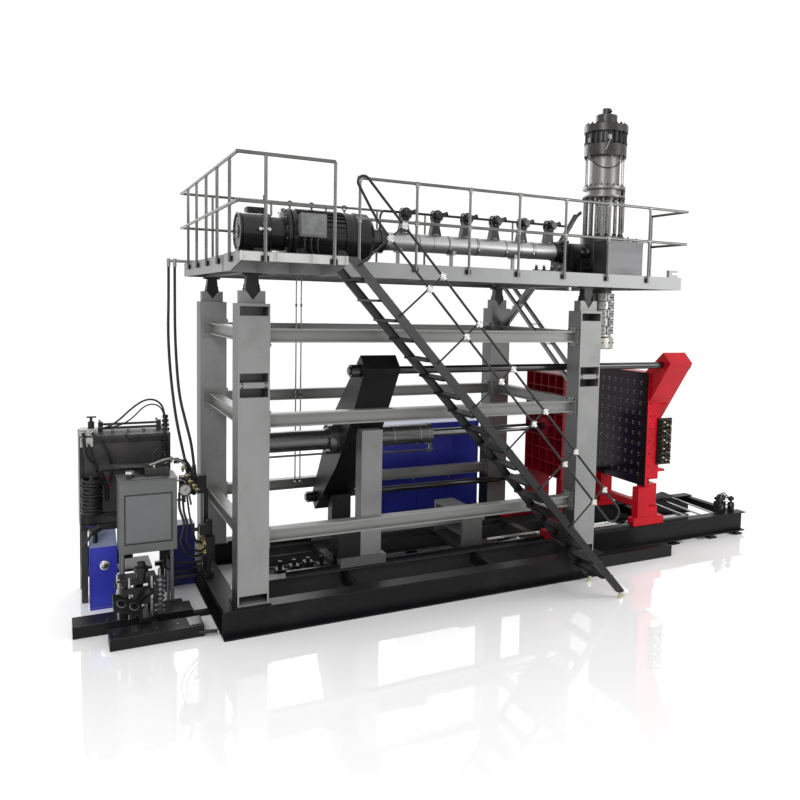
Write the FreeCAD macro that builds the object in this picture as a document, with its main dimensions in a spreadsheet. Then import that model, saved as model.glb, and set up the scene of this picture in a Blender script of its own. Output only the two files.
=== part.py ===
import FreeCAD, Part
import Sketcher
import math
import os
import re

# Accumulator-head blow moulding machine, in millimetres, +Z up.
# +X runs along the extruder towards the head, +Y runs from the stair side to the far side.
# The origin is on the floor, under the outer front corner of the front left column.

DIMENSIONS = {
    # gantry
    "gantry_length": 5440, "gantry_depth": 3055, "column_width": 385, "column_depth": 330,
    "column_wall": 20, "column_top": 4150, "splice_height": 3150, "splice_plate": 34,
    "window_height": 115, "base_height": 373, "base_beam_width": 240, "base_overhang": 165,
    "flange_thick": 20, "web_thick": 16, "base_anchor_radius": 13,
    "beam_width": 150, "beam_recess": 100, "top_beam_height": 169, "top_beam_foot": 3670,
    "mid_beam_height": 172, "mid_beam_foot": 2602, "low_beam_height": 164, "low_beam_foot": 1137,
    "end_plate_thick": 20, "end_plate_rim": 55,
    # platform
    "support_height": 370, "channel_height": 200, "channel_flange": 70, "channel_wall": 9,
    "deck_left": 180, "deck_right": 1530, "deck_front": 50, "deck_plate": 6,
    "joist_height": 120, "landing_length": 1200, "landing_depth": 900, "landing_channel": 100,
    "head_hole_radius": 400,
    # guardrail
    "rail_height": 1070, "rail_tube": 21, "post_pitch": 793, "post_offset": 30, "post_drop": 110,
    "first_post": 1490,
    # stair
    "stair_width": 800, "stair_angle": 48, "stringer_depth": 105, "stringer_flange": 45,
    "stringer_wall": 7, "tread_count": 18, "tread_depth": 190, "tread_thick": 28,
    "stair_foot_height": 105, "handrail_height": 680, "handrail_mid": 445, "handrail_tube": 16,
    "handrail_post": 12, "handrail_pitch": 776, "handrail_start": 180, "handrail_posts": 7,
    "caster_wheel_radius": 38, "caster_wheel_width": 28,
    # extruder
    "barrel_height": 410, "screw_radius": 52, "screw_root": 36, "barrel_radius": 95,
    "shroud_radius": 140, "shroud_wall": 3, "barrel_start": 2450, "barrel_length": 3150,
    "motor_radius": 372, "motor_start": 920, "motor_length": 980, "fan_radius": 265,
    "fan_length": 430, "gearbox_radius": 385, "gearbox_length": 290, "blower_pitch": 527,
    "blower_first": 2780, "blower_radius": 95, "blower_count": 6,
    # accumulator head
    "head_reach": 1120, "head_height": 2620, "die_radius": 230, "die_drop": 1230, "cylinder_radius": 260,
    "ring_radius": 380, "tie_rod_radius": 24, "tie_rod_circle": 325, "tie_rod_count": 14,
    "die_core_radius": 110, "die_ring_height": 250,
    # clamp
    "bed_front": 720, "bed_foot": 60, "bed_height": 360, "bed_left": 520, "bed_reach": 3000,
    "bed_beam_width": 200, "rail_section": 55, "bar_offset_y": 1000, "bar_offset_z": 1105,
    "bar_radius": 55, "clamp_axis": 2155, "yoke_width": 520, "yoke_half": 310, "yoke_end": 130,
    "yoke_reach": 1660, "open_half": 570, "right_plate": 290, "right_yoke_width": 520,
    "platen_width": 1450, "platen_foot": 1100, "platen_height": 2000, "left_platen_width": 1150,
    "left_platen_foot": 1330, "left_platen_height": 1750, "left_platen_thick": 540,
    "tie_span": 4870, "barrel_tube": 152, "rod_radius": 62, "mould_hole_radius": 11,
    "mould_pitch": 180, "rib_thick": 25, "rib_pitch": 230, "pinion_radius": 70,
    # hydraulic unit
    "unit_gap": 540, "unit_width": 700, "unit_depth": 480, "unit_foot": 860, "unit_height": 950,
    "unit_front": 1200, "tank_width": 1150, "tank_foot": 1000, "tank_height": 1300,
}

doc = FreeCAD.newDocument("BlowMouldingMachine")
sheet = doc.addObject("Spreadsheet::Sheet", "Sizes")
for row, (alias, number) in enumerate(DIMENSIONS.items(), start=1):
    sheet.set(f"A{row}", alias)
    sheet.set(f"B{row}", str(number))
    sheet.setAlias(f"B{row}", alias)
doc.recompute()
probe = doc.addObject("App::FeaturePython", "Probe")
probe.addProperty("App::PropertyFloat", "Result")

# Places worked out from the driving dimensions, as expression text.
COLUMN_RIGHT = "(gantry_length - column_width)"
COLUMN_REAR = "(gantry_depth - column_depth)"
DECK_FOOT = "(column_top + support_height)"
DECK_TOP = f"({DECK_FOOT} + channel_height)"
DECK_END = "(gantry_length + deck_right)"
MIDDLE = "(gantry_depth / 2)"
AXIS = f"({DECK_TOP} + barrel_height)"
LANDING_FRONT = "(deck_front + landing_depth)"
LANDING_END = "(landing_length - deck_left)"
RAIL_TOP = "(bed_foot + bed_height + rail_section)"
HEAD_X = "(gantry_length + head_reach)"
HEAD_TOP = f"({DECK_TOP} + head_height)"
DIE_FOOT = f"({DECK_TOP} - die_drop)"
BED_RIGHT = f"({HEAD_X} + bed_reach)"
RIGHT_FACE = f"({HEAD_X} + open_half)"
LEFT_FACE = f"({HEAD_X} - open_half)"
YOKE_RIGHT = f"({RIGHT_FACE} - tie_span)"
YOKE_LEFT = f"({YOKE_RIGHT} - yoke_width)"
PARTS = []


def tied(text):
    """An expression in which every known word points at its cell."""
    def qualify(word):
        return f"Sizes.{word[0]}" if word[0] in DIMENSIONS else word[0]

    return re.sub(r"[a-z]\w*", qualify, str(text))


def value(text):
    """The number that an expression of cells stands for, for pieces shaped in code."""
    probe.setExpression("Result", tied(text))
    probe.recompute()
    return probe.Result


def bind(item, **sizes):
    for name, text in sizes.items():
        item.setExpression(name, tied(text))
    return item


def place(item, at, axis=None, angle=0):
    """Put item at three expressions, turned about an axis."""
    if axis:
        item.Placement.Rotation = FreeCAD.Rotation(FreeCAD.Vector(*axis), angle)
    for name, text in zip("xyz", at):
        item.setExpression(f"Placement.Base.{name}", tied(text))
    return item


def block(at, size):
    item = doc.addObject("Part::Box", "Block")
    bind(item, Length=size[0], Width=size[1], Height=size[2])
    return place(item, at)


TURNS = {"x": ((0, 1, 0), 90), "y": ((1, 0, 0), -90), "z": (None, 0)}


def cylinder(at, radius, length, along="z"):
    item = doc.addObject("Part::Cylinder", "Cylinder")
    bind(item, Radius=radius, Height=length)
    return place(item, at, *TURNS[along])


def fuse(*pieces):
    if len(pieces) == 1:
        return pieces[0]
    item = doc.addObject("Part::MultiFuse", "Weldment")
    item.Shapes = list(pieces)
    item.Refine = True
    return item


def cut(base, *tools):
    item = doc.addObject("Part::Cut", "Cut")
    item.Base = base
    item.Tool = fuse(*tools)
    return item


def group(*pieces):
    """Several solids of one node, kept separate."""
    item = doc.addObject("Part::Compound", "Group")
    item.Links = list(pieces)
    return item


def node(label, item):
    item.Label = label
    PARTS.append(item)
    return item


def shaped(label, shape):
    """A piece whose form neither a sketch nor a primitive gives."""
    item = doc.addObject("Part::Feature", "Shaped")
    item.Shape = shape
    return node(label, item)


def ring(at, radius, bore, length, along="z"):
    """A tube or ring; the bore runs through both ends."""
    return cut(cylinder(at, radius, length, along), cylinder(at, bore, length, along))


def i_beam(along, at, length, height, width, flange="flange_thick", web="web_thick"):
    """A beam of two flanges and a web, lying along x or y."""
    x, y, z = at
    top = f"{z} + {height} - {flange}"
    if along == "x":
        sizes = (length, width)
        web_at = (x, f"{y} + ({width} - {web}) / 2", f"{z} + {flange}")
        web_size = (length, web, f"{height} - 2 * {flange}")
    else:
        sizes = (width, length)
        web_at = (f"{x} + ({width} - {web}) / 2", y, f"{z} + {flange}")
        web_size = (web, length, f"{height} - 2 * {flange}")
    lower = block((x, y, z), (*sizes, flange))
    upper = block((x, y, top), (*sizes, flange))
    return fuse(lower, block(web_at, web_size), upper)


def channel(along, at, length, height, open_side, wall="channel_wall", flange="channel_flange"):
    """A C section lying along x or y; at is its outer lower corner and open_side is 1 or -1."""
    x, y, z = at
    hollow = f"{height} - 2 * {wall}"
    if along == "x":
        corner = y if open_side > 0 else f"{y} - {flange}"
        inner = f"{y} + {wall}" if open_side > 0 else f"{y} - {flange}"
        outer = block((x, corner, z), (length, flange, height))
        return cut(outer, block((x, inner, f"{z} + {wall}"), (length, f"{flange} - {wall}", hollow)))
    corner = x if open_side > 0 else f"{x} - {flange}"
    inner = f"{x} + {wall}" if open_side > 0 else f"{x} - {flange}"
    outer = block((corner, y, z), (flange, length, height))
    return cut(outer, block((inner, y, f"{z} + {wall}"), (f"{flange} - {wall}", length, hollow)))


def outline_sketch(body, plane, points, holes=()):
    """A closed outline of straight sides, each corner tied to the sheet, with round holes."""
    sketch = body.newObject("Sketcher::SketchObject", "Outline")
    origin = next(part for part in body.Origin.OriginFeatures if part.Role == plane)
    sketch.AttachmentSupport = [(origin, "")]
    sketch.MapMode = "FlatFace"
    corners = [FreeCAD.Vector(value(u), value(v), 0) for u, v in points]
    for start, end in zip(corners, corners[1:] + corners[:1]):
        sketch.addGeometry(Part.LineSegment(start, end))
    count = len(corners)
    for index in range(count):
        sketch.addConstraint(Sketcher.Constraint("Coincident", index, 2, (index + 1) % count, 1))
    for index, (u, v) in enumerate(points):
        for kind, text in (("DistanceX", u), ("DistanceY", v)):
            number = sketch.addConstraint(Sketcher.Constraint(kind, -1, 1, index, 1, value(text)))
            sketch.setExpression(f"Constraints[{number}]", tied(text))
    for u, v, radius in holes:
        centre = FreeCAD.Vector(value(u), value(v), 0)
        circle = sketch.addGeometry(Part.Circle(centre, FreeCAD.Vector(0, 0, 1), value(radius)))
        for kind, text in (("DistanceX", u), ("DistanceY", v)):
            number = sketch.addConstraint(Sketcher.Constraint(kind, -1, 1, circle, 3, value(text)))
            sketch.setExpression(f"Constraints[{number}]", tied(text))
        number = sketch.addConstraint(Sketcher.Constraint("Radius", circle, value(radius)))
        sketch.setExpression(f"Constraints[{number}]", tied(radius))
    return sketch


def padded_body(plane, points, length, at, holes=()):
    """A PartDesign body: an outline on one origin plane, padded along that plane's normal."""
    body = doc.addObject("PartDesign::Body", "Body")
    sketch = outline_sketch(body, plane, points, holes)
    pad = body.newObject("PartDesign::Pad", "Pad")
    pad.Profile = sketch
    bind(pad, Length=length)
    return place(body, at)


def turned_body(points, at, along="z"):
    """A PartDesign body revolved from (radius, height) corners about its own axis."""
    body = doc.addObject("PartDesign::Body", "Body")
    sketch = outline_sketch(body, "XZ_Plane", points)
    turn = body.newObject("PartDesign::Revolution", "Revolution")
    turn.Profile = sketch
    turn.ReferenceAxis = (sketch, ["V_Axis"])
    turn.Angle = 360
    return place(body, at, *TURNS[along])


# Gantry base: black I-beams lying on the floor, with cross ties to the clamp bed.

def make_gantry_base():
    left = "0 - base_overhang"
    span = "gantry_length + 2 * base_overhang"
    front_y = "0 - base_beam_width / 6"
    rear_y = "gantry_depth - base_beam_width * 5 / 6"
    beams = []
    for y in (front_y, rear_y):
        long_beam = i_beam("x", (left, y, "0"), span, "base_height", "base_beam_width")
        anchors = []
        for x in ("0 - base_overhang / 2", "gantry_length + base_overhang / 2"):
            anchor_at = (x, f"{y} + base_beam_width / 6", "0")
            anchors.append(cylinder(anchor_at, "base_anchor_radius", "flange_thick"))
        beams.append(cut(long_beam, *anchors))
    inner_y = "base_beam_width * 5 / 6"
    inner_length = "gantry_depth - base_beam_width * 5 / 3"
    beams.append(i_beam("y", (left, inner_y, "0"), inner_length, "base_height", "base_beam_width"))
    stub = "bed_front - 15 - base_beam_width * 5 / 6"
    stub_x = "gantry_length + base_overhang - base_beam_width"
    for y in (inner_y, "gantry_depth - bed_front + 15"):
        beams.append(i_beam("y", (stub_x, y, "0"), stub, "base_height", "base_beam_width"))
    tie_length = "bed_front + bed_beam_width / 2 - web_thick / 2 - base_beam_width * 5 / 6"
    for share in (0.295, 0.68):
        x = f"gantry_length * {share}"
        beams.append(block((x, inner_y, "bed_foot + bed_height - 207"), (75, tie_length, 160)))
    outrigger = ("gantry_length + base_overhang", "bed_front - 470", "0")
    beams.append(block(outrigger, (1700, 150, 190)))
    beams.append(block(("gantry_length + base_overhang", "bed_front - 320", "0"), (150, 320, "bed_foot")))
    node("gantry_base", group(*beams))


def make_columns():
    sections = []
    for x, y, face in (
        ("0", "0", "0"),
        (COLUMN_RIGHT, "0", "0"),
        ("0", COLUMN_REAR, "column_depth - column_wall"),
        (COLUMN_RIGHT, COLUMN_REAR, "column_depth - column_wall"),
    ):
        inner = ("column_width - 2 * column_wall", "column_depth - 2 * column_wall")
        lengths = (
            ("base_height", "splice_height - base_height"),
            ("splice_height", "column_top - splice_height"),
        )
        for foot, length in lengths:
            box = block((x, y, foot), ("column_width", "column_depth", length))
            hollow_at = (f"{x} + column_wall", f"{y} + column_wall", f"{foot} + splice_plate")
            hollow = block(hollow_at, (*inner, f"{length} - 2 * splice_plate"))
            windows = []
            for z in (f"{foot} + splice_plate", f"{foot} + {length} - splice_plate - window_height"):
                at = (f"{x} + column_wall", f"{y} + {face}", z)
                windows.append(block(at, (inner[0], "column_wall", "window_height")))
            sections.append(cut(box, hollow, *windows))
    node("columns", group(*sections))


LEVELS = {
    "low": ("low_beam_foot", "low_beam_height"),
    "mid": ("mid_beam_foot", "mid_beam_height"),
    "top": ("top_beam_foot", "top_beam_height"),
}


def girder(along, at, span, height):
    """A beam between two columns, with a bolted plate at each end."""
    x, y, z = at
    rim = "end_plate_rim"
    tall = f"{height} + 2 * {rim}"
    wide = f"beam_width + 2 * {rim}"
    inner_span = f"{span} - 2 * end_plate_thick"
    low = f"{z} - {rim}"
    if along == "x":
        beam = i_beam("x", (f"{x} + end_plate_thick", y, z), inner_span, height, "beam_width")
        size = ("end_plate_thick", wide, tall)
        near = block((x, f"{y} - {rim}", low), size)
        far = block((f"{x} + {span} - end_plate_thick", f"{y} - {rim}", low), size)
    else:
        beam = i_beam("y", (x, f"{y} + end_plate_thick", z), inner_span, height, "beam_width")
        size = (wide, "end_plate_thick", tall)
        near = block((f"{x} - {rim}", y, low), size)
        far = block((f"{x} - {rim}", f"{y} + {span} - end_plate_thick", low), size)
    return fuse(beam, near, far)


def make_girders():
    span_x = "(gantry_length - 2 * column_width)"
    span_y = "(gantry_depth - 2 * column_depth)"
    far_y = "gantry_depth - beam_recess - beam_width"
    far_x = "gantry_length - beam_recess - beam_width"
    beams = []
    for low, tall in LEVELS.values():
        for y in ("beam_recess", far_y):
            beams.append(girder("x", ("column_width", y, low), span_x, tall))
    for x, levels in (("beam_recess", ("low", "mid", "top")), (far_x, ("mid", "top"))):
        for level in levels:
            low, tall = LEVELS[level]
            beams.append(girder("y", (x, "column_depth", low), span_y, tall))
    beams += end_braces()
    node("gantry_beams", group(*beams))


def end_braces():
    """Two pairs of flat bars that cross between the right-hand columns, under the platform."""
    under = value(DECK_FOOT)
    girder_left = value("gantry_length - beam_recess - beam_width")
    girder_width = value("beam_width")
    girder_top = value("top_beam_foot + top_beam_height")
    front_face = value("column_depth")
    rear_face = value(COLUMN_REAR)
    bar = 48
    plate = 16
    half = 45
    long_x = (girder_left - bar - 2, girder_left + girder_width + 2)
    short_x = (girder_left + 5, girder_left + girder_width - bar - 5)
    long_foot = [(front_face, under - 1570), (front_face, under - 1500)]
    short_foot = [(rear_face - 35, girder_top), (rear_face - 130, girder_top)]
    braces = []
    for places, foot, head_y in (
        (long_x, long_foot, rear_face - 260),
        (short_x, short_foot, rear_face - 960),
    ):
        head = [(head_y - half, under - plate), (head_y + half, under - plate)]
        outline = foot + head
        bars = []
        for x in places:
            points = [FreeCAD.Vector(x, y, z) for y, z in outline]
            face = Part.Face(Part.makePolygon(points + points[:1]))
            bars.append(face.extrude(FreeCAD.Vector(bar, 0, 0)))
        span = places[1] + bar - places[0]
        corner = FreeCAD.Vector(places[0], head_y - half - 10, under - plate)
        pieces = bars[1:] + [Part.makeBox(span, 2 * half + 20, plate, corner)]
        rungs = 4 if places is long_x else 1
        for index in range(1, rungs + 1):
            share = index / (rungs + 1)
            y = foot[0][0] + (head_y - foot[0][0]) * share
            z = foot[0][1] + (under - foot[0][1]) * share
            pieces.append(Part.makeBox(span, 22, 22, FreeCAD.Vector(places[0], y, z)))
        item = doc.addObject("Part::Feature", "Brace")
        item.Shape = bars[0].fuse(pieces)
        braces.append(item)
    return braces


def make_column_heads():
    """On each column a grey notched block carries a black mount under the platform."""
    blocks = []
    mounts = []
    notch_top = "support_height * 0.42"
    seat = [
        ("40", "0"), ("column_width - 40", "0"), ("column_width - 40", notch_top),
        ("column_width * 0.72", notch_top), ("column_width / 2", "40"),
        ("column_width * 0.28", notch_top), ("40", notch_top),
    ]
    stem = [
        ("column_width / 2", "40"), ("column_width * 0.72", notch_top),
        ("column_width * 0.68", "support_height - 30"), ("column_width * 0.8", "support_height - 30"),
        ("column_width * 0.8", "support_height"), ("column_width * 0.2", "support_height"),
        ("column_width * 0.2", "support_height - 30"), ("column_width * 0.32", "support_height - 30"),
        ("column_width * 0.28", notch_top),
    ]
    for x in ("0", COLUMN_RIGHT):
        for y in ("0", COLUMN_REAR):
            seat_at = (x, f"{y} + column_depth * 0.75", "column_top")
            stem_at = (x, f"{y} + column_depth * 0.7", "column_top")
            blocks.append(padded_body("XZ_Plane", seat, "column_depth * 0.5", seat_at))
            mounts.append(padded_body("XZ_Plane", stem, "column_depth * 0.4", stem_at))
    node("column_heads", group(*blocks))
    node("platform_mounts", group(*mounts))


# Platform: channels round the edge, joists, deck plate and the landing at the stair head.

def make_platform():
    left = "0 - deck_left"
    length = f"({DECK_END} + deck_left)"
    front = "0 - deck_front"
    back = "(gantry_depth - 5)"
    depth = f"({back} + deck_front)"
    edges = [
        channel("x", (left, front, DECK_FOOT), length, "channel_height", 1),
        channel("x", (left, back, DECK_FOOT), length, "channel_height", -1),
    ]
    end_size = ("channel_wall", f"{depth} - 2 * channel_flange", "channel_height")
    for x in (left, f"{DECK_END} - channel_wall"):
        edges.append(block((x, f"{front} + channel_flange", DECK_FOOT), end_size))
    joist_top = f"{DECK_TOP} - deck_plate - joist_height"
    inner_y = f"{front} + channel_flange"
    joist_length = f"{depth} - 2 * channel_flange"
    bays = 9
    clear = f"({length} - 2 * channel_wall - 60)"
    for index in range(bays):
        x = f"{left} + channel_wall + {clear} * {index + 0.5} / {bays}"
        edges.append(block((x, inner_y, joist_top), (60, joist_length, "joist_height")))
    for x in ("column_width / 2 - 100", "gantry_length - column_width / 2 - 50"):
        seat = (x, inner_y, DECK_FOOT)
        edges.append(i_beam("y", seat, joist_length, "channel_height - deck_plate", "100", "12", "10"))
    head_hole = cylinder((HEAD_X, MIDDLE, DECK_FOOT), "head_hole_radius", "channel_height")
    frame = cut(group(*edges), head_hole)
    elbows = []
    for x, y in (("0 - 414", "2990"), ("0 - 335", "2930")):
        arm = cylinder((x, y, f"{DECK_TOP} + 28"), "22", f"100 - ({x})", "x")
        drop = cylinder((x, y, "4660"), "27", f"{DECK_TOP} + 60 - 4660")
        elbows.append(fuse(arm, drop))
    hook_at = (f"{DECK_END} - 260", "0 - deck_front", DECK_TOP)
    hook_gap = (f"{DECK_END} - 200", "0 - deck_front", f"{DECK_TOP} + 40")
    hook = cut(block(hook_at, (180, 60, 110)), block(hook_gap, (120, 60, 40)))
    node("platform_frame", group(frame, hook, *elbows, *landing_frame()))
    hole = cylinder((HEAD_X, MIDDLE, DECK_FOOT), "head_hole_radius - 20", "channel_height")
    plate_at = (f"{left} + channel_wall", inner_y, f"{DECK_TOP} - deck_plate")
    plate = block(plate_at, (f"{length} - 2 * channel_wall", joist_length, "deck_plate"))
    landing_at = (left, f"0 - {LANDING_FRONT} + channel_wall", DECK_TOP)
    landing = block(landing_at, ("landing_length", "landing_depth - channel_wall", "deck_plate"))
    node("deck_plates", group(cut(plate, hole), landing))


def landing_frame():
    """The cantilevered landing's thin edge channel and its tapered brackets."""
    left = "0 - deck_left"
    front = f"0 - {LANDING_FRONT}"
    top = f"{DECK_TOP} - landing_channel"
    reach = "landing_depth - channel_flange"
    pieces = [channel("x", (left, front, top), "landing_length", "landing_channel", 1)]
    taper = [
        ("0 - deck_front", "0"), ("0 - deck_front", "channel_height"),
        (f"0 - deck_front - {reach}", "channel_height"),
        (f"0 - deck_front - {reach}", "channel_height - landing_channel"),
        ("0 - deck_front - landing_depth * 0.45", "0"),
    ]
    count = 4
    for index in range(count):
        x = f"{left} + (landing_length - 12) * {index} / {count - 1}"
        pieces.append(padded_body("YZ_Plane", taper, "12", (x, "0", DECK_FOOT)))
    return pieces


# Guardrails: vertical posts clamped outside the edge channels, with top and middle rails.

def rail_panel(along, start, length, across, posts, foot):
    """One straight run: its posts, and two rails that they pass through."""
    top = f"{DECK_TOP} + rail_height - rail_tube"
    middle = f"{DECK_TOP} + rail_height / 2"
    tubes = []
    for position in posts:
        at = (position, across, foot) if along == "x" else (across, position, foot)
        tubes.append(cylinder(at, "rail_tube * 0.9", f"{top} - {foot}"))
    rails = []
    for z in (top, middle):
        at = (start, across, z) if along == "x" else (across, start, z)
        rails.append(cut(cylinder(at, "rail_tube", length, along), *tubes))
    return tubes + rails


def post_clamps(along, positions, across, side):
    """Black clamps that hold the posts to the channel's outer face."""
    clamps = []
    for position in positions:
        low = f"{DECK_TOP} - post_drop + 10"
        reach = "post_offset - rail_tube * 0.9"
        if along == "x":
            y = f"{across} + rail_tube * 0.9" if side > 0 else f"{across} - rail_tube * 0.9 - ({reach})"
            clamps.append(block((f"{position} - 45", y, low), (90, reach, 60)))
        else:
            x = f"{across} + rail_tube * 0.9" if side > 0 else f"{across} - rail_tube * 0.9 - ({reach})"
            clamps.append(block((x, f"{position} - 45", low), (reach, 90, 60)))
    return clamps


def make_guardrails():
    foot = f"({DECK_TOP} - post_drop)"
    front = "(0 - deck_front - post_offset)"
    back = "(gantry_depth - 5 + post_offset)"
    left = "(0 - deck_left - post_offset)"
    end = f"({DECK_END} + post_offset)"
    landing = f"(0 - {LANDING_FRONT} - post_offset)"
    corner = "rail_tube"
    front_posts = [f"first_post + post_pitch * {index}" for index in range(7)]
    front_length = f"{end} + {corner} - first_post"
    front_run = rail_panel("x", "first_post", front_length, front, front_posts, foot)
    right_posts = [f"{front} + 830"]
    right_run = rail_panel("y", f"{front} + {corner}", "850", end, right_posts, foot)
    span = f"({end} - {left})"
    rear_posts = [f"{left} + {span} * {index + 0.5} / 8" for index in range(8)]
    rear_run = rail_panel("x", f"{left} - {corner}", f"{span} + {corner}", back, rear_posts, foot)
    left_posts = [f"{landing} + 430 + 750 * {index}" for index in range(5)]
    left_length = f"{back} - {landing} - 2 * {corner}"
    left_run = rail_panel("y", f"{landing} + {corner}", left_length, left, left_posts, foot)
    landing_posts = ["90", f"{LANDING_END} - 150"]
    landing_length = f"landing_length + post_offset + {corner} - 150"
    landing_run = rail_panel("x", f"{left} - {corner}", landing_length, landing, landing_posts, foot)
    node("guardrails", group(*front_run, *right_run, *rear_run, *left_run, *landing_run))
    clamps = post_clamps("x", front_posts, front, 1) + post_clamps("x", rear_posts, back, -1)
    clamps += post_clamps("y", left_posts, left, 1) + post_clamps("y", right_posts, end, -1)
    clamps += post_clamps("x", landing_posts, landing, 1)
    node("post_clamps", group(*clamps))


# Stair: two channel stringers, treads, a looped handrail and castors at its foot.

def slope_point(along, across):
    """A point of the stair's side view, from its head: distance down the slope and above it."""
    angle = math.radians(value("stair_angle"))
    head_x = value(LANDING_END) + 0.3
    head_z = value(DECK_TOP)
    x = head_x + along * math.cos(angle) + across * math.sin(angle)
    z = head_z - along * math.sin(angle) + across * math.cos(angle)
    return x, z


def slope_prism(outline, y, width):
    """A straight-sided solid of the stair, from its side view."""
    points = [FreeCAD.Vector(x, y, z) for x, z in outline]
    face = Part.Face(Part.makePolygon(points + points[:1]))
    return face.extrude(FreeCAD.Vector(0, width, 0))


def stair_lines():
    """Where the stringer's upper and lower edges meet the deck level and the foot level."""
    angle = math.radians(value("stair_angle"))
    drop = value(DECK_TOP) - value("stair_foot_height")
    head_x = value(LANDING_END) + 0.3
    run = drop / math.tan(angle)
    edge = value("stringer_depth") / math.sin(angle)
    return head_x, run, edge


def make_stair():
    head_x, run, edge = stair_lines()
    top = value(DECK_TOP)
    foot = value("stair_foot_height")
    wall = value("stringer_wall")
    flange = value("stringer_flange")
    width = value("stair_width")
    near = -value(LANDING_FRONT) + value("channel_wall")
    side = [(head_x, top), (head_x + edge, top), (head_x + edge + run, foot), (head_x + run, foot)]
    inset = wall / math.sin(math.radians(value("stair_angle")))
    hollow = [
        (head_x + inset, top), (head_x + edge - inset, top),
        (head_x + edge + run - inset, foot), (head_x + run + inset, foot),
    ]
    stringers = []
    for y, open_y in ((near, near + wall), (near + width - flange, near + width - flange)):
        outer = slope_prism(side, y, flange)
        inner = slope_prism(hollow, open_y, flange - wall)
        stringers.append(outer.cut(inner))
    for y in (near, near + width - flange):
        at = FreeCAD.Vector(head_x + run + edge * 0.15, y - 10, foot - 6)
        stringers.append(Part.makeBox(edge * 0.7, flange + 20, 6, at))
    shaped("stair_stringers", Part.makeCompound(stringers))
    count = int(value("tread_count"))
    thick = value("tread_thick")
    depth = value("tread_depth")
    rise = (top - foot) / (count + 1)
    lean = thick / math.tan(math.radians(value("stair_angle")))
    treads = []
    for index in range(1, count + 1):
        z = top - rise * index
        x = head_x + (top - z) / math.tan(math.radians(value("stair_angle"))) + edge / 2
        corner = FreeCAD.Vector(x - depth / 2, near + flange, z - thick)
        box = Part.makeBox(depth, width - 2 * flange, thick, corner)
        lip_corner = corner + FreeCAD.Vector(6, 6, -5)
        lip = Part.makeBox(depth - 12, width - 2 * flange - 12, thick, lip_corner)
        cleats = []
        for y in (near + wall + 0.5, near + width - flange):
            cleat_corner = FreeCAD.Vector(x - depth * 0.25 + lean, y, z - thick)
            cleats.append(Part.makeBox(depth * 0.5, flange - wall - 0.5, 5, cleat_corner))
        treads.append(box.cut(lip).fuse(cleats))
    shaped("stair_treads", Part.makeCompound(treads))


def swept_tube(points, radius):
    """A tube along straight runs joined by tangent arcs, each as large as its runs allow."""
    path = [FreeCAD.Vector(*point) for point in points]
    edges = []
    last = path[0]
    radii = []
    for before, corner, after in zip(path, path[1:], path[2:]):
        into = corner - before
        away = after - corner
        half_turn = into.getAngle(away) / 2
        reach = 0.45 * min(into.Length, away.Length)
        start = corner - FreeCAD.Vector(into).normalize() * reach
        end = corner + FreeCAD.Vector(away).normalize() * reach
        bend = reach / math.tan(half_turn)
        radii.append(bend)
        inward = (start - corner).normalize() + (end - corner).normalize()
        centre = corner + inward.normalize() * math.hypot(bend, reach)
        middle = centre + (corner - centre).normalize() * bend
        edges.append(Part.LineSegment(last, start).toShape())
        edges.append(Part.Arc(start, middle, end).toShape())
        last = end
    edges.append(Part.LineSegment(last, path[-1]).toShape())
    wire = Part.Wire(edges)
    direction = path[1] - path[0]
    section = Part.Wire(Part.Circle(path[0], direction, radius).toShape())
    tube = wire.makePipeShell([section], True, False)
    print(f"tube radius {radius:.0f}: length {wire.Length:.0f}, tightest bend {min(radii or [0]):.0f}, "
          f"volume share {tube.Volume / (math.pi * radius ** 2 * wire.Length):.4f}")
    return tube


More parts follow.
